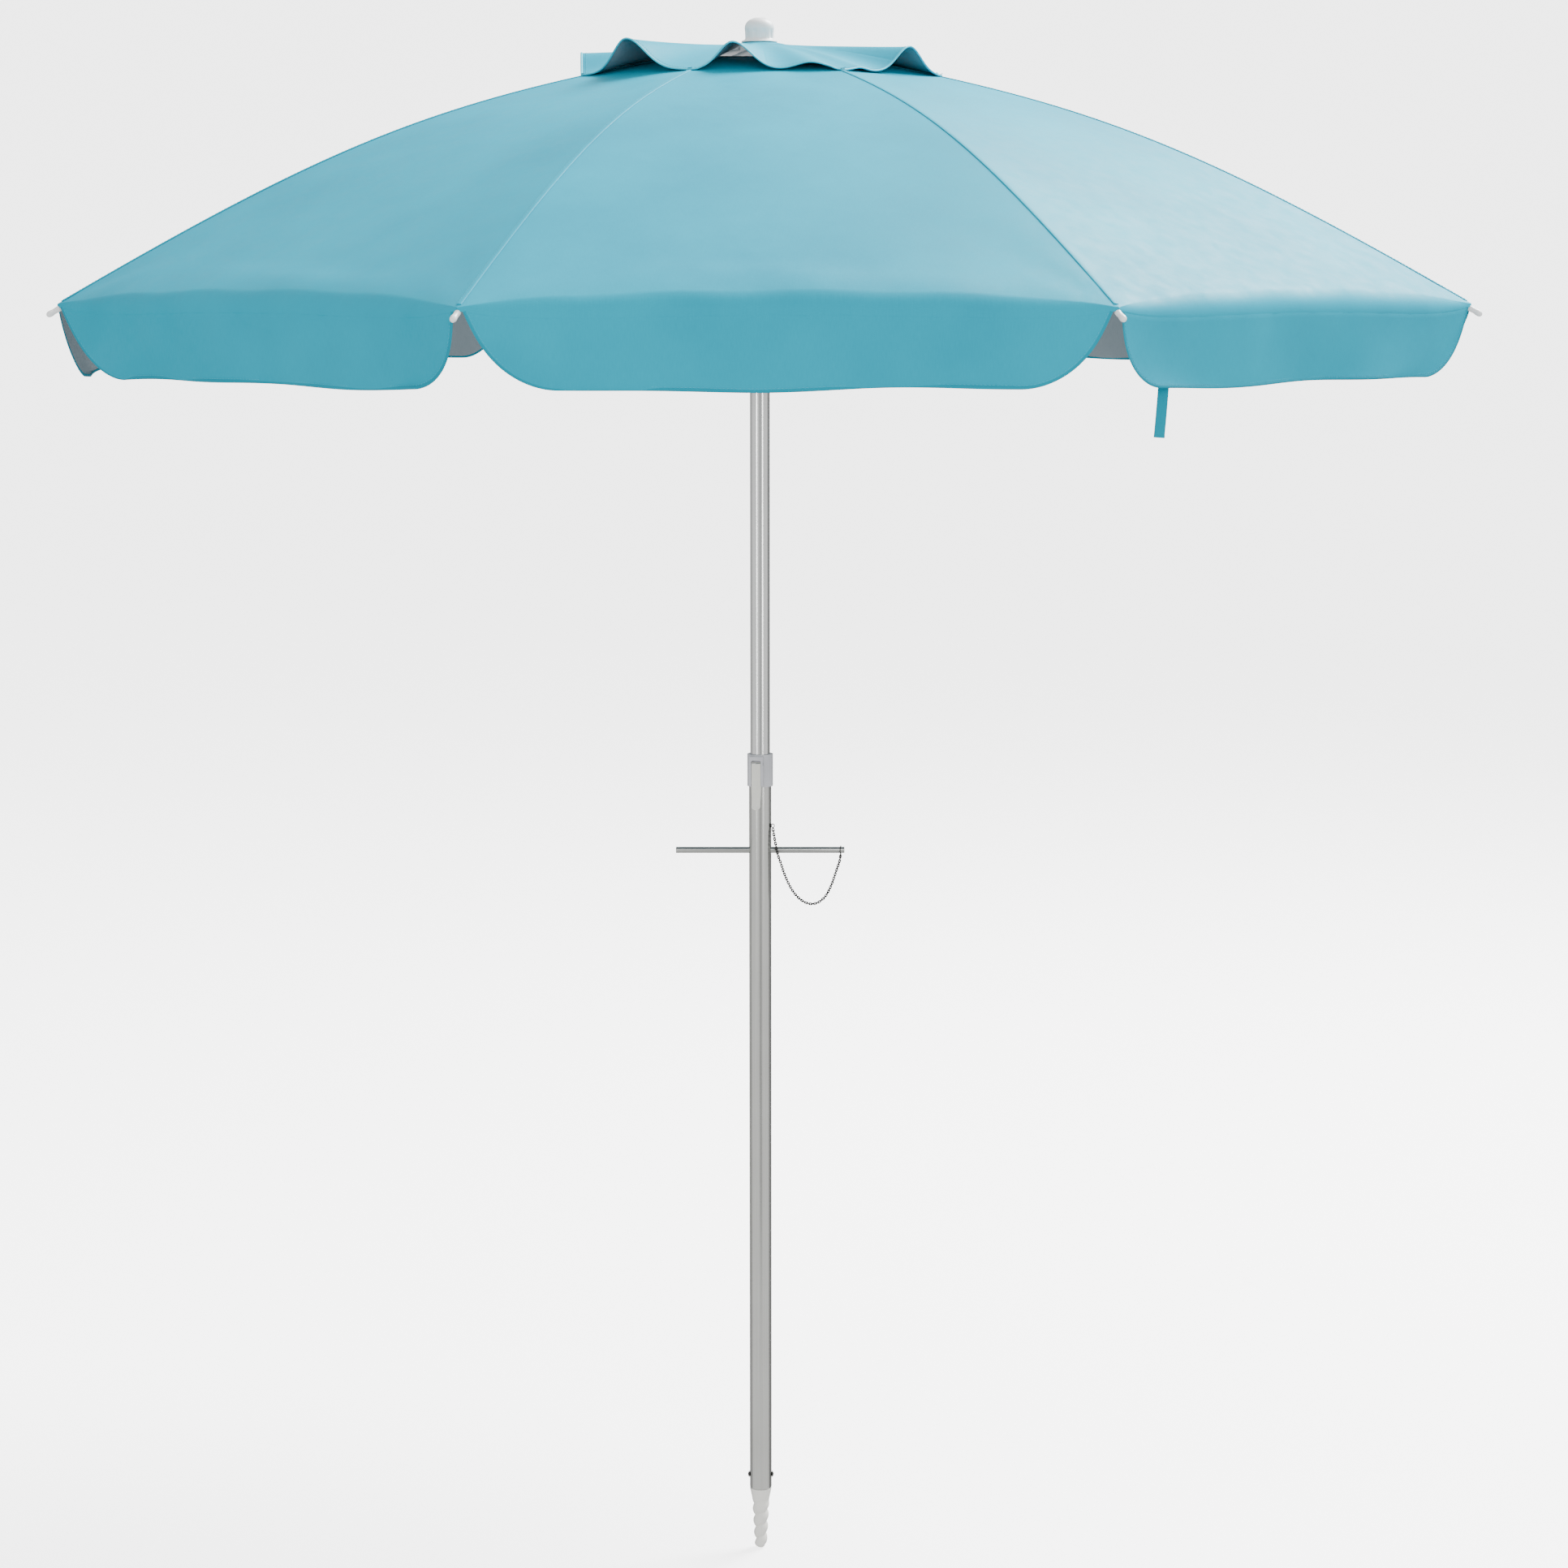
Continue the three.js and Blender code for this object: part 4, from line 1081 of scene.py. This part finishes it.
def make_tip_cap(k):
    """A moulded cap with a bead, on the rib's end."""
    rim, before = PROFILE[3], PROFILE[2]
    slope = atan2(before[1] - rim[1], rim[0] - before[0])
    profile = [
        (2.7, -12.4), (3.4, -12.6), (3.7, -12), (3.8, -8), (3.6, -5.5), (3.6, -2), (4.0, 0),
        (4.1, 2), (4.1, 3.2), (3.9, 4.6), (3.3, 6.2), (2.3, 7.4), (1.1, 8), (0, 8.1),
    ]
    cap = turned(f"tip_cap_{k}", profile, white_plastic, 32)
    placed(cap, (rim[0], 0, TIP_LEVEL + rim[1] - RIB_DROP), pi / 2 + slope, "Y")
    fitted(spun(cap, rib_azimuth(k)), f"rib_{k}", "white_plastic", f"rib_tip_{k}")


for k in range(1, RIBS + 1):
    make_rib(k)
    make_rib_bracket(k)
    make_stretcher(k)
    make_tip_cap(k)


# ---- Canopy cloth ----

CLOTH = 0.5


def cloth_sheet(name, columns, rows, place, layout, back=silver, face=turquoise, thickness=CLOTH):
    """A sheet from place(u, v), with the weave laid out by layout(u, v) in millimetres, u and v in 0…1."""
    spots = [(i / columns, j / rows) for j in range(rows + 1) for i in range(columns + 1)]
    points = [place(u, v) for u, v in spots]
    obj = piece(name, points, [face[::-1] for face in grid_faces(columns, rows)], face, 60)
    obj.data.materials.append(back)
    uv = obj.data.uv_layers.new(name="cloth")
    flat = [tuple(c * MM for c in layout(u, v)) for u, v in spots]
    for loop in obj.data.loops:
        uv.data[loop.index].uv = flat[loop.vertex_index]
    solid = obj.modifiers.new("thickness", "SOLIDIFY")
    solid.thickness = thickness * MM
    solid.offset = -1
    solid.material_offset = 1
    solid.material_offset_rim = 0
    obj.modifiers.new("even_shading", "WEIGHTED_NORMAL")
    return obj


def area_of(place, columns, rows):
    """Area in square metres of a sheet from place(u, v)."""
    total = 0.0
    spots = [[Vector(place(i / columns, j / rows)) for i in range(columns + 1)] for j in range(rows + 1)]
    for low, high in zip(spots, spots[1:]):
        for a, b, c, d in zip(low, low[1:], high[1:], high):
            total += ((b - a).cross(c - a).length + (c - a).cross(d - a).length) / 2
    return total * MM * MM


def sewn(objs, body, slot, azimuth, keep=0.0):
    """Cloth pieces on one body. With keep, each piece gets a mesh of its own."""
    for obj in objs:
        fitted(obj, body, slot)
        if keep:
            across = (-sin(azimuth), cos(azimuth), 0)
            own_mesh(obj)


def waves(k, count, seed=0):
    """Phases and strengths that stay the same for each gore."""
    dice = random.Random(1000 * seed + k)
    return [(dice.uniform(0, tau), dice.uniform(0.6, 1.0)) for _ in range(count)]


PUCKER = {k: waves(k, 4) for k in range(1, RIBS + 1)}
SWAY = {k: waves(k, 4, 1) for k in range(1, RIBS + 1)}
GORE_KEEP = 0.1
FLAP_KEEP = 0.09
FLAP_HEIGHT = 91.0
HEM_PHASE = {1: 0.4, 2: 2.2, 3: 4.0, 4: 5.3, 5: -0.3, 6: 2.6, 7: 3.4, 8: 1.2}


def rim_wave(k, across):
    """How far the rim's stitching pulls the cloth in and out."""
    p = PUCKER[k]
    wave = 0.7 * p[0][1] * sin(17 * across + p[0][0]) + 0.5 * p[1][1] * sin(31 * across + p[1][0])
    return (1 - abs(across) ** 8) * wave


def gore_ripple(k, across, radius):
    """Height of the soft folds near the rim and the pull lines from the rib tips."""
    p = PUCKER[k]
    edge = RIM_RADIUS - radius
    near = exp(-edge / 45)
    height = 1.1 * near * sin(14 * across + p[2][0] + 0.02 * edge) * (1 - across ** 4)
    for spot, reach, lift, centre in ((30, 9, 2.2, 0.15), (52, 12, 1.5, -0.2)):
        along = exp(-(((across - centre - 0.3 * sin(p[3][0])) / 0.38) ** 2))
        height += lift * along * exp(-(((edge - spot) / reach) ** 2))
    for side in (-1, 1):
        away = hypot((across - side) * RIM_HALF, edge)
        angle = atan2(edge, abs(across - side) * RIM_HALF + 1)
        height += 1.0 * sin(7 * angle + p[0][0]) * exp(-away / 120) * smooth(away / 40)
    slack = sin(pi * min(1.0, (radius - HOLE_RADIUS) / 840)) * (1 - across * across)
    return 1.5 * height * smooth((1 - abs(across)) / 0.05) + 2.0 * slack * sin(p[1][0])


def gore_base(k, across, radius):
    down = max(0.0, (radius - HOLE_RADIUS) / (RIM_RADIUS - HOLE_RADIUS))
    lift = RIM_LIFT * (1 - across * across) * down ** 4
    return TIP_LEVEL + canopy_height(radius) + lift + gore_ripple(k, across, radius)


def gore_point(k, across, down):
    """down is 0 at the vent hole, 1 where the rim starts to roll over and 2 at the flap's seam."""
    roll = RIM_ROLL * (1 - abs(across) ** 6)
    last = RIM_RADIUS - roll
    if down <= 1:
        radius = mix(HOLE_RADIUS, last, down)
        x, z = radius * cos(HALF_GORE), gore_base(k, across, radius)
    else:
        t = down - 1
        start = (last * cos(HALF_GORE), gore_base(k, across, last))
        out = RIM_X + rim_wave(k, across)
        crest = TIP_LEVEL + RIM_LIFT * (1 - across * across)
        ways = ((1 - t) ** 2, 2 * t * (1 - t), t * t)
        x = ways[0] * start[0] + (ways[1] + ways[2]) * out
        z = ways[0] * start[1] + ways[1] * crest + ways[2] * (crest - roll)
        radius = x / cos(HALF_GORE)
    return (x, across * (radius * sin(HALF_GORE) - 0.15), z)


GORE_ROWS = [i / 44 for i in range(45)] + [1 + i / 7 for i in range(1, 8)]
GORE_COLUMNS = 36


def eased(u):
    """Across −1…1, closer together near the ribs."""
    s = 2 * u - 1
    return s * (1.25 - 0.25 * s * s)


def make_gore(k):
    rows, azimuth = len(GORE_ROWS) - 1, gore_azimuth(k)

    def place(u, v):
        return gore_point(k, eased(u), GORE_ROWS[round(v * rows)])

    def layout(u, v):
        x, y, z = place(u, v)
        return (y, x * 1.12)

    gore = cloth_sheet(f"gore_{k}", GORE_COLUMNS, rows, place, layout)
    middle = [Vector(place(0.5, j / rows)) for j in range(rows + 1)]
    hem = swept(f"hole_hem_{k}", [place(i / 24, 0) for i in range(25)], (0.8, 3.5), silver, 8, up=[UP] * 25)
    sewn([spun(gore, azimuth), spun(hem, azimuth)], f"panel_{k}", "canopy_fabric", azimuth, GORE_KEEP)
    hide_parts(f"canopy_panel_{k}")
    area_of(place, GORE_COLUMNS, rows)


# How far each flap's two sides slope in by the hem, towards rib k and towards rib k + 1.
FLAP_SLOPES = {
    1: (30, 22), 2: (16, 34), 3: (34, 20), 4: (26, 50), 5: (60, 8), 6: (40, 38), 7: (6, 34), 8: (50, 30),
}
# How far a flap's two lower corners hang in towards the pole.
FLAP_LEANS = {4: (0, 10), 8: (26, 0)}


def flap_side(k, down, side):
    """The flap's half width on one side."""
    down = max(0.0, down)
    corner = 66 * (1 - sqrt(max(0.0, 1 - down ** 3)))
    return RIM_HALF - 7.2 - FLAP_SLOPES[k][side > 0] * down - corner


def flap_point(k, across, down):
    """down is below 0 behind the gore's rolled rim, 0 at the seam and 1 at the hem."""
    width = flap_side(k, down, across)
    share = across * flap_side(k, 0, across) / RIM_HALF
    roll = RIM_ROLL * (1 - abs(share) ** 6)
    seam = TIP_LEVEL + RIM_LIFT * (1 - share * share) - roll
    if down < 0:
        tucked = roll / RIM_ROLL * -down
        return (RIM_X + rim_wave(k, share) - 1.0 - 2.2 * tucked, across * width, seam + 9 * tucked)
    s = SWAY[k]
    drop = FLAP_HEIGHT - 1 + 2.2 * sin(3.0 * across + HEM_PHASE[k]) + 1.2 * sin(6.5 * across + s[2][0])
    swing = 6 * s[0][1] * sin(3.4 * across + s[0][0]) + 3 * s[1][1] * sin(8.3 * across + s[1][0])
    swing -= FLAP_LEANS.get(k, (0, 0))[across > 0] * across ** 4
    x = RIM_X + rim_wave(k, share) * (1 - down) + swing * down ** 1.5 - 2 * down
    return (x, across * width, mix(seam, TIP_LEVEL - drop, down))


FLAP_ROWS = [-1.0, -0.5, -0.03] + [sin(pi / 2 * i / 22) for i in range(23)]


def inset_path(path, amount):
    """A flap's edge line moved into the cloth."""
    ways = [(after - before).normalized() for before, after in zip(path[:1] + path, path[1:] + path[-1:])]
    return [p + way.cross(OUT).normalized() * -amount for p, way in zip(path, ways)]


def make_flap(k):
    rows, columns, azimuth = len(FLAP_ROWS) - 1, 56, gore_azimuth(k)

    def place(u, v):
        return flap_point(k, eased(u), FLAP_ROWS[round(v * rows)])

    def side(across):
        return [Vector(flap_point(k, across, sin(pi / 2 * i / 30))) for i in range(31)]

    flap = cloth_sheet(f"flap_{k}", columns, rows, place, lambda u, v: place(u, v)[1:])
    edge = side(-1) + [Vector(flap_point(k, mix(-1, 1, i / 60), 1)) for i in range(1, 60)] + side(1)[::-1]
    centre = [p - OUT * CLOTH / 2 for p in inset_path(edge, 1.2)]
    binding = swept(f"flap_binding_{k}", centre, (0.75, 1.9), teal_tape, 10, up=[OUT] * len(centre))
    stitches = stitched(f"flap_stitches_{k}", [p + OUT * 0.15 for p in inset_path(edge, 4.2)], OUT)
    for obj in (flap, binding, stitches):
        spun(obj, azimuth)
    sewn([flap], f"valance_{k}", "valance_fabric", azimuth, FLAP_KEEP)
    sewn([binding, stitches], f"valance_{k}", "trim_fabric", azimuth, FLAP_KEEP)
    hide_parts(f"valance_{k}")
    width = 2 * flap_side(k, 0, 1) * MM
    min(area_of(place, columns, rows), width * 0.1)


def make_seam(k):
    """The felled seam over a rib, its two rows of stitches and the wide tape under it."""
    radii = [mix(HOLE_RADIUS + 1, 984, i / 60) for i in range(61)]
    ups = [Vector((canopy_height(r - 2) - canopy_height(r + 2), 0, 4)).normalized() for r in radii]
    line = [Vector((r, 0, TIP_LEVEL + canopy_height(r) + 0.1)) for r in radii]
    ridge = swept(f"seam_{k}", line, (0.9, 3.2), turquoise, 12, up=ups)
    rows = []
    for y in (-2.1, 2.1):
        path = [p + Vector((0, y, 0)) + n * 0.6 for p, n in zip(line, ups)]
        rows.append(stitched("row", path, UP))
    stitches = joined(f"seam_stitches_{k}", rows)

    def place(u, v):
        radius = mix(HOLE_RADIUS, 980, v)
        half = 22 * smooth((radius - 118) / 110) * smooth((1000 - radius) / 90) + 3
        y = (2 * u - 1) * half
        return (radius, y, TIP_LEVEL + canopy_height(radius + abs(y) * tan(HALF_GORE)) - 1.0)

    def layout(u, v):
        return ((2 * u - 1) * 25, v * 900)

    tape = cloth_sheet(f"seam_tape_{k}", 8, 40, place, layout, thickness=0.4)
    pieces = [spun(obj, rib_azimuth(k)) for obj in (ridge, stitches, tape)]
    sewn(pieces, f"rib_{k}", "canopy_fabric", rib_azimuth(k))
    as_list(pieces[:2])


# The vent rim's humps in each gore: place between its two ribs, height, and reach to either side.
HUMPS = {
    1: ((0.35, 30, 0.16, 0.2), (0.75, 14, 0.12, 0.14)),
    2: ((0.55, 38, 0.22, 0.2),),
    3: ((0.28, 22, 0.13, 0.16), (0.68, 32, 0.16, 0.17)),
    4: ((0.45, 36, 0.18, 0.26),),
    5: ((0.42, 45, 0.2, 0.3),),
    6: ((0.27, 36, 0.15, 0.2), (0.8, 10, 0.16, 0.16)),
    7: ((0.67, 36, 0.22, 0.19), (0.16, 4, 0.1, 0.1)),
    8: ((0.5, 9, 0.24, 0.22),),
}


def vent_rise(angle):
    """Height of the vent's rim above its level at the ribs, at an angle from the first rib."""
    turn = (angle / GORE_ANGLE) % RIBS
    k, s = int(turn) % RIBS + 1, turn % 1
    rise = 0.0
    for centre, height, before, after in HUMPS[k]:
        reach = before if s < centre else after
        rise += height * exp(-(((s - centre) / reach) ** 2) * 1.35)
    ends = smooth(s / 0.08) * smooth((1 - s) / 0.08)
    return rise * ends


def vent_point(azimuth, reach):
    """reach is 0 at the inner edge and 1 at the rim."""
    from_middle = (azimuth - FIRST_RIB) % GORE_ANGLE - HALF_GORE
    straight = mix(1, cos(HALF_GORE) / cos(from_middle), 0.9 * reach)
    radius = mix(VENT_INNER, VENT_RADIUS, reach) * straight
    top, rim = CROWN_HIGH + 0.6, TIP_LEVEL + canopy_height(VENT_RADIUS) + 1.6
    level = mix(top, rim, reach) + 5 * sin(pi * reach)
    rise = vent_rise(azimuth - FIRST_RIB) * reach ** 1.7
    return Vector((radius * cos(azimuth), radius * sin(azimuth), level + rise))


VENT_KEEP = 0.42


def vent_wing(radius):
    """How far a sector runs on under its neighbours, so that no gap opens by the crown when folded."""
    return radians(0.3 + 27 * exp(-max(0.0, radius - 30) / 60))


def make_vent(k):
    """The part of the vent top sewn to rib k, from the middle of one gore to the middle of the next."""
    columns, rows, azimuth = 40, 20, rib_azimuth(k)

    def place(u, v):
        s = 2 * u - 1
        tucked = max(0.0, abs(s) - 0.9) / 0.1
        angle = HALF_GORE * min(1.0, abs(s) / 0.9) + tucked * vent_wing(mix(VENT_INNER, VENT_RADIUS, v))
        return vent_point(azimuth + copysign(angle, s), v) - UP * 0.9 * min(1.0, 2 * tucked)

    def layout(u, v):
        point = Matrix.Rotation(-azimuth, 3, "Z") @ place(u, v)
        return (point.y, point.x)

    def along(reach, rise):
        return [vent_point(azimuth - HALF_GORE + GORE_ANGLE * i / 60, reach) + UP * rise for i in range(61)]

    sector = cloth_sheet(f"vent_{k}", columns, rows, place, layout)
    # The piping's lighter colour is partly a painted highlight along the vent's rim.
    piping = swept(f"vent_piping_{k}", along(0.996, -0.2), (1.3, 1.6), piping_with_painted_highlight, 10, up=[UP] * 61)
    stitches = stitched(f"vent_stitches_{k}", along(0.965, 0.2), UP)
    sewn([sector], f"rib_{k}", "canopy_fabric", azimuth, VENT_KEEP)
    sewn([piping, stitches], f"rib_{k}", "trim_fabric", azimuth, VENT_KEEP)
    if k == 1:
        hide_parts("vent_canopy")
    width = 2 * VENT_RADIUS * sin(HALF_GORE) * 1.12 * MM
    min(area_of(place, columns, rows), width * 0.245)


def make_vent_knot(k):
    """The bar tack that holds the vent's rim down on the rib, with its thread ends."""
    azimuth = rib_azimuth(k)
    spot = vent_point(azimuth, 0.99)
    out = Vector((cos(azimuth), sin(azimuth), 0))
    side = Vector((-out.y, out.x, 0))

    def strand(ways, thick):
        path = [spot + side * s + out * r + UP * z for s, r, z in ways]
        return swept("strand", path, thick, teal_tape, 6)

    reaches = [n * 0.9 - 3 for n in range(6)]
    strands = [strand([(-3, r, 0.8), (-1.5, r, 1.3), (1.5, r, 1.3), (3, r, 0.8)], 0.4) for r in reaches]
    strands.append(strand([(1, 0, 1), (3, 1, 2.6), (4, 2.4, 2.4)], 0.3))
    fitted(joined(f"vent_knot_{k}", strands), f"rib_{k}", "trim_fabric")


def make_patch():
    """The round reinforcing patch that the finial clamps."""
    def place(u, v):
        radius = mix(6, 46, v)
        height = CROWN_HIGH + 1.95 - 0.6 * smooth((radius - 24) / 22) - max(0, radius - 29) * 0.19
        return (radius * cos(tau * u), radius * sin(tau * u), height)

    patch = cloth_sheet("crown_patch", 72, 12, place, lambda u, v: place(u, v)[:2], thickness=0.6)
    edge = [place(i / 96, 1) for i in range(96)]
    binding = swept("patch_binding", edge, (0.6, 0.9), teal_tape, 8, closed=True, up=[UP] * 96)
    sewn([patch, binding], "mast", "canopy_fabric", 0)


def make_strap():
    """The closing strap, of woven tape with a folded end."""
    low, high = box_mm("closure_strap")
    azimuth = gore_azimuth(7)
    out = Vector((cos(azimuth), sin(azimuth), 0))
    side = Vector((-out.y, out.x, 0))
    top = side * -271 + out * (RIM_X - 9) + UP * (TIP_LEVEL - 4)
    lean = radians(-5.8)
    down = (UP * -cos(lean) + side * sin(lean)).normalized()
    across = down.cross(out.lerp(Vector((0, -1, 0)), 0.75)).normalized()
    length = high.z - low.z + 2

    def place(u, v):
        sway = 1.6 * sin(2.6 * v + 0.4) - 0.6
        return top + down * (length * v) + across * (13 * (u - 0.5)) + out * (sway * v)

    def layout(u, v):
        return (13 * u, length * v)

    strap = cloth_sheet("closing_strap", 6, 24, place, layout, back=teal_tape, face=teal_tape, thickness=1.1)
    fold = [place(u / 8, 0.985) + out * 0.4 for u in range(9)]
    end = swept("strap_fold", fold, (0.8, 1.8), teal_tape, 8, up=[out] * 9)
    rows = []
    for u in (0.14, 0.86):
        rows.append(stitched("row", [place(u, v) + out * 0.15 for v in (0.03, 0.5, 0.96)], out))
    stitches = joined("strap_stitches", rows)
    sewn([strap, end, stitches], "valance_7", "trim_fabric", azimuth, FLAP_KEEP)
    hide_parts("closure_strap")


for k in range(1, RIBS + 1):
    make_gore(k)
    make_flap(k)
    make_seam(k)
    make_vent(k)
    make_vent_knot(k)
make_patch()
make_strap()
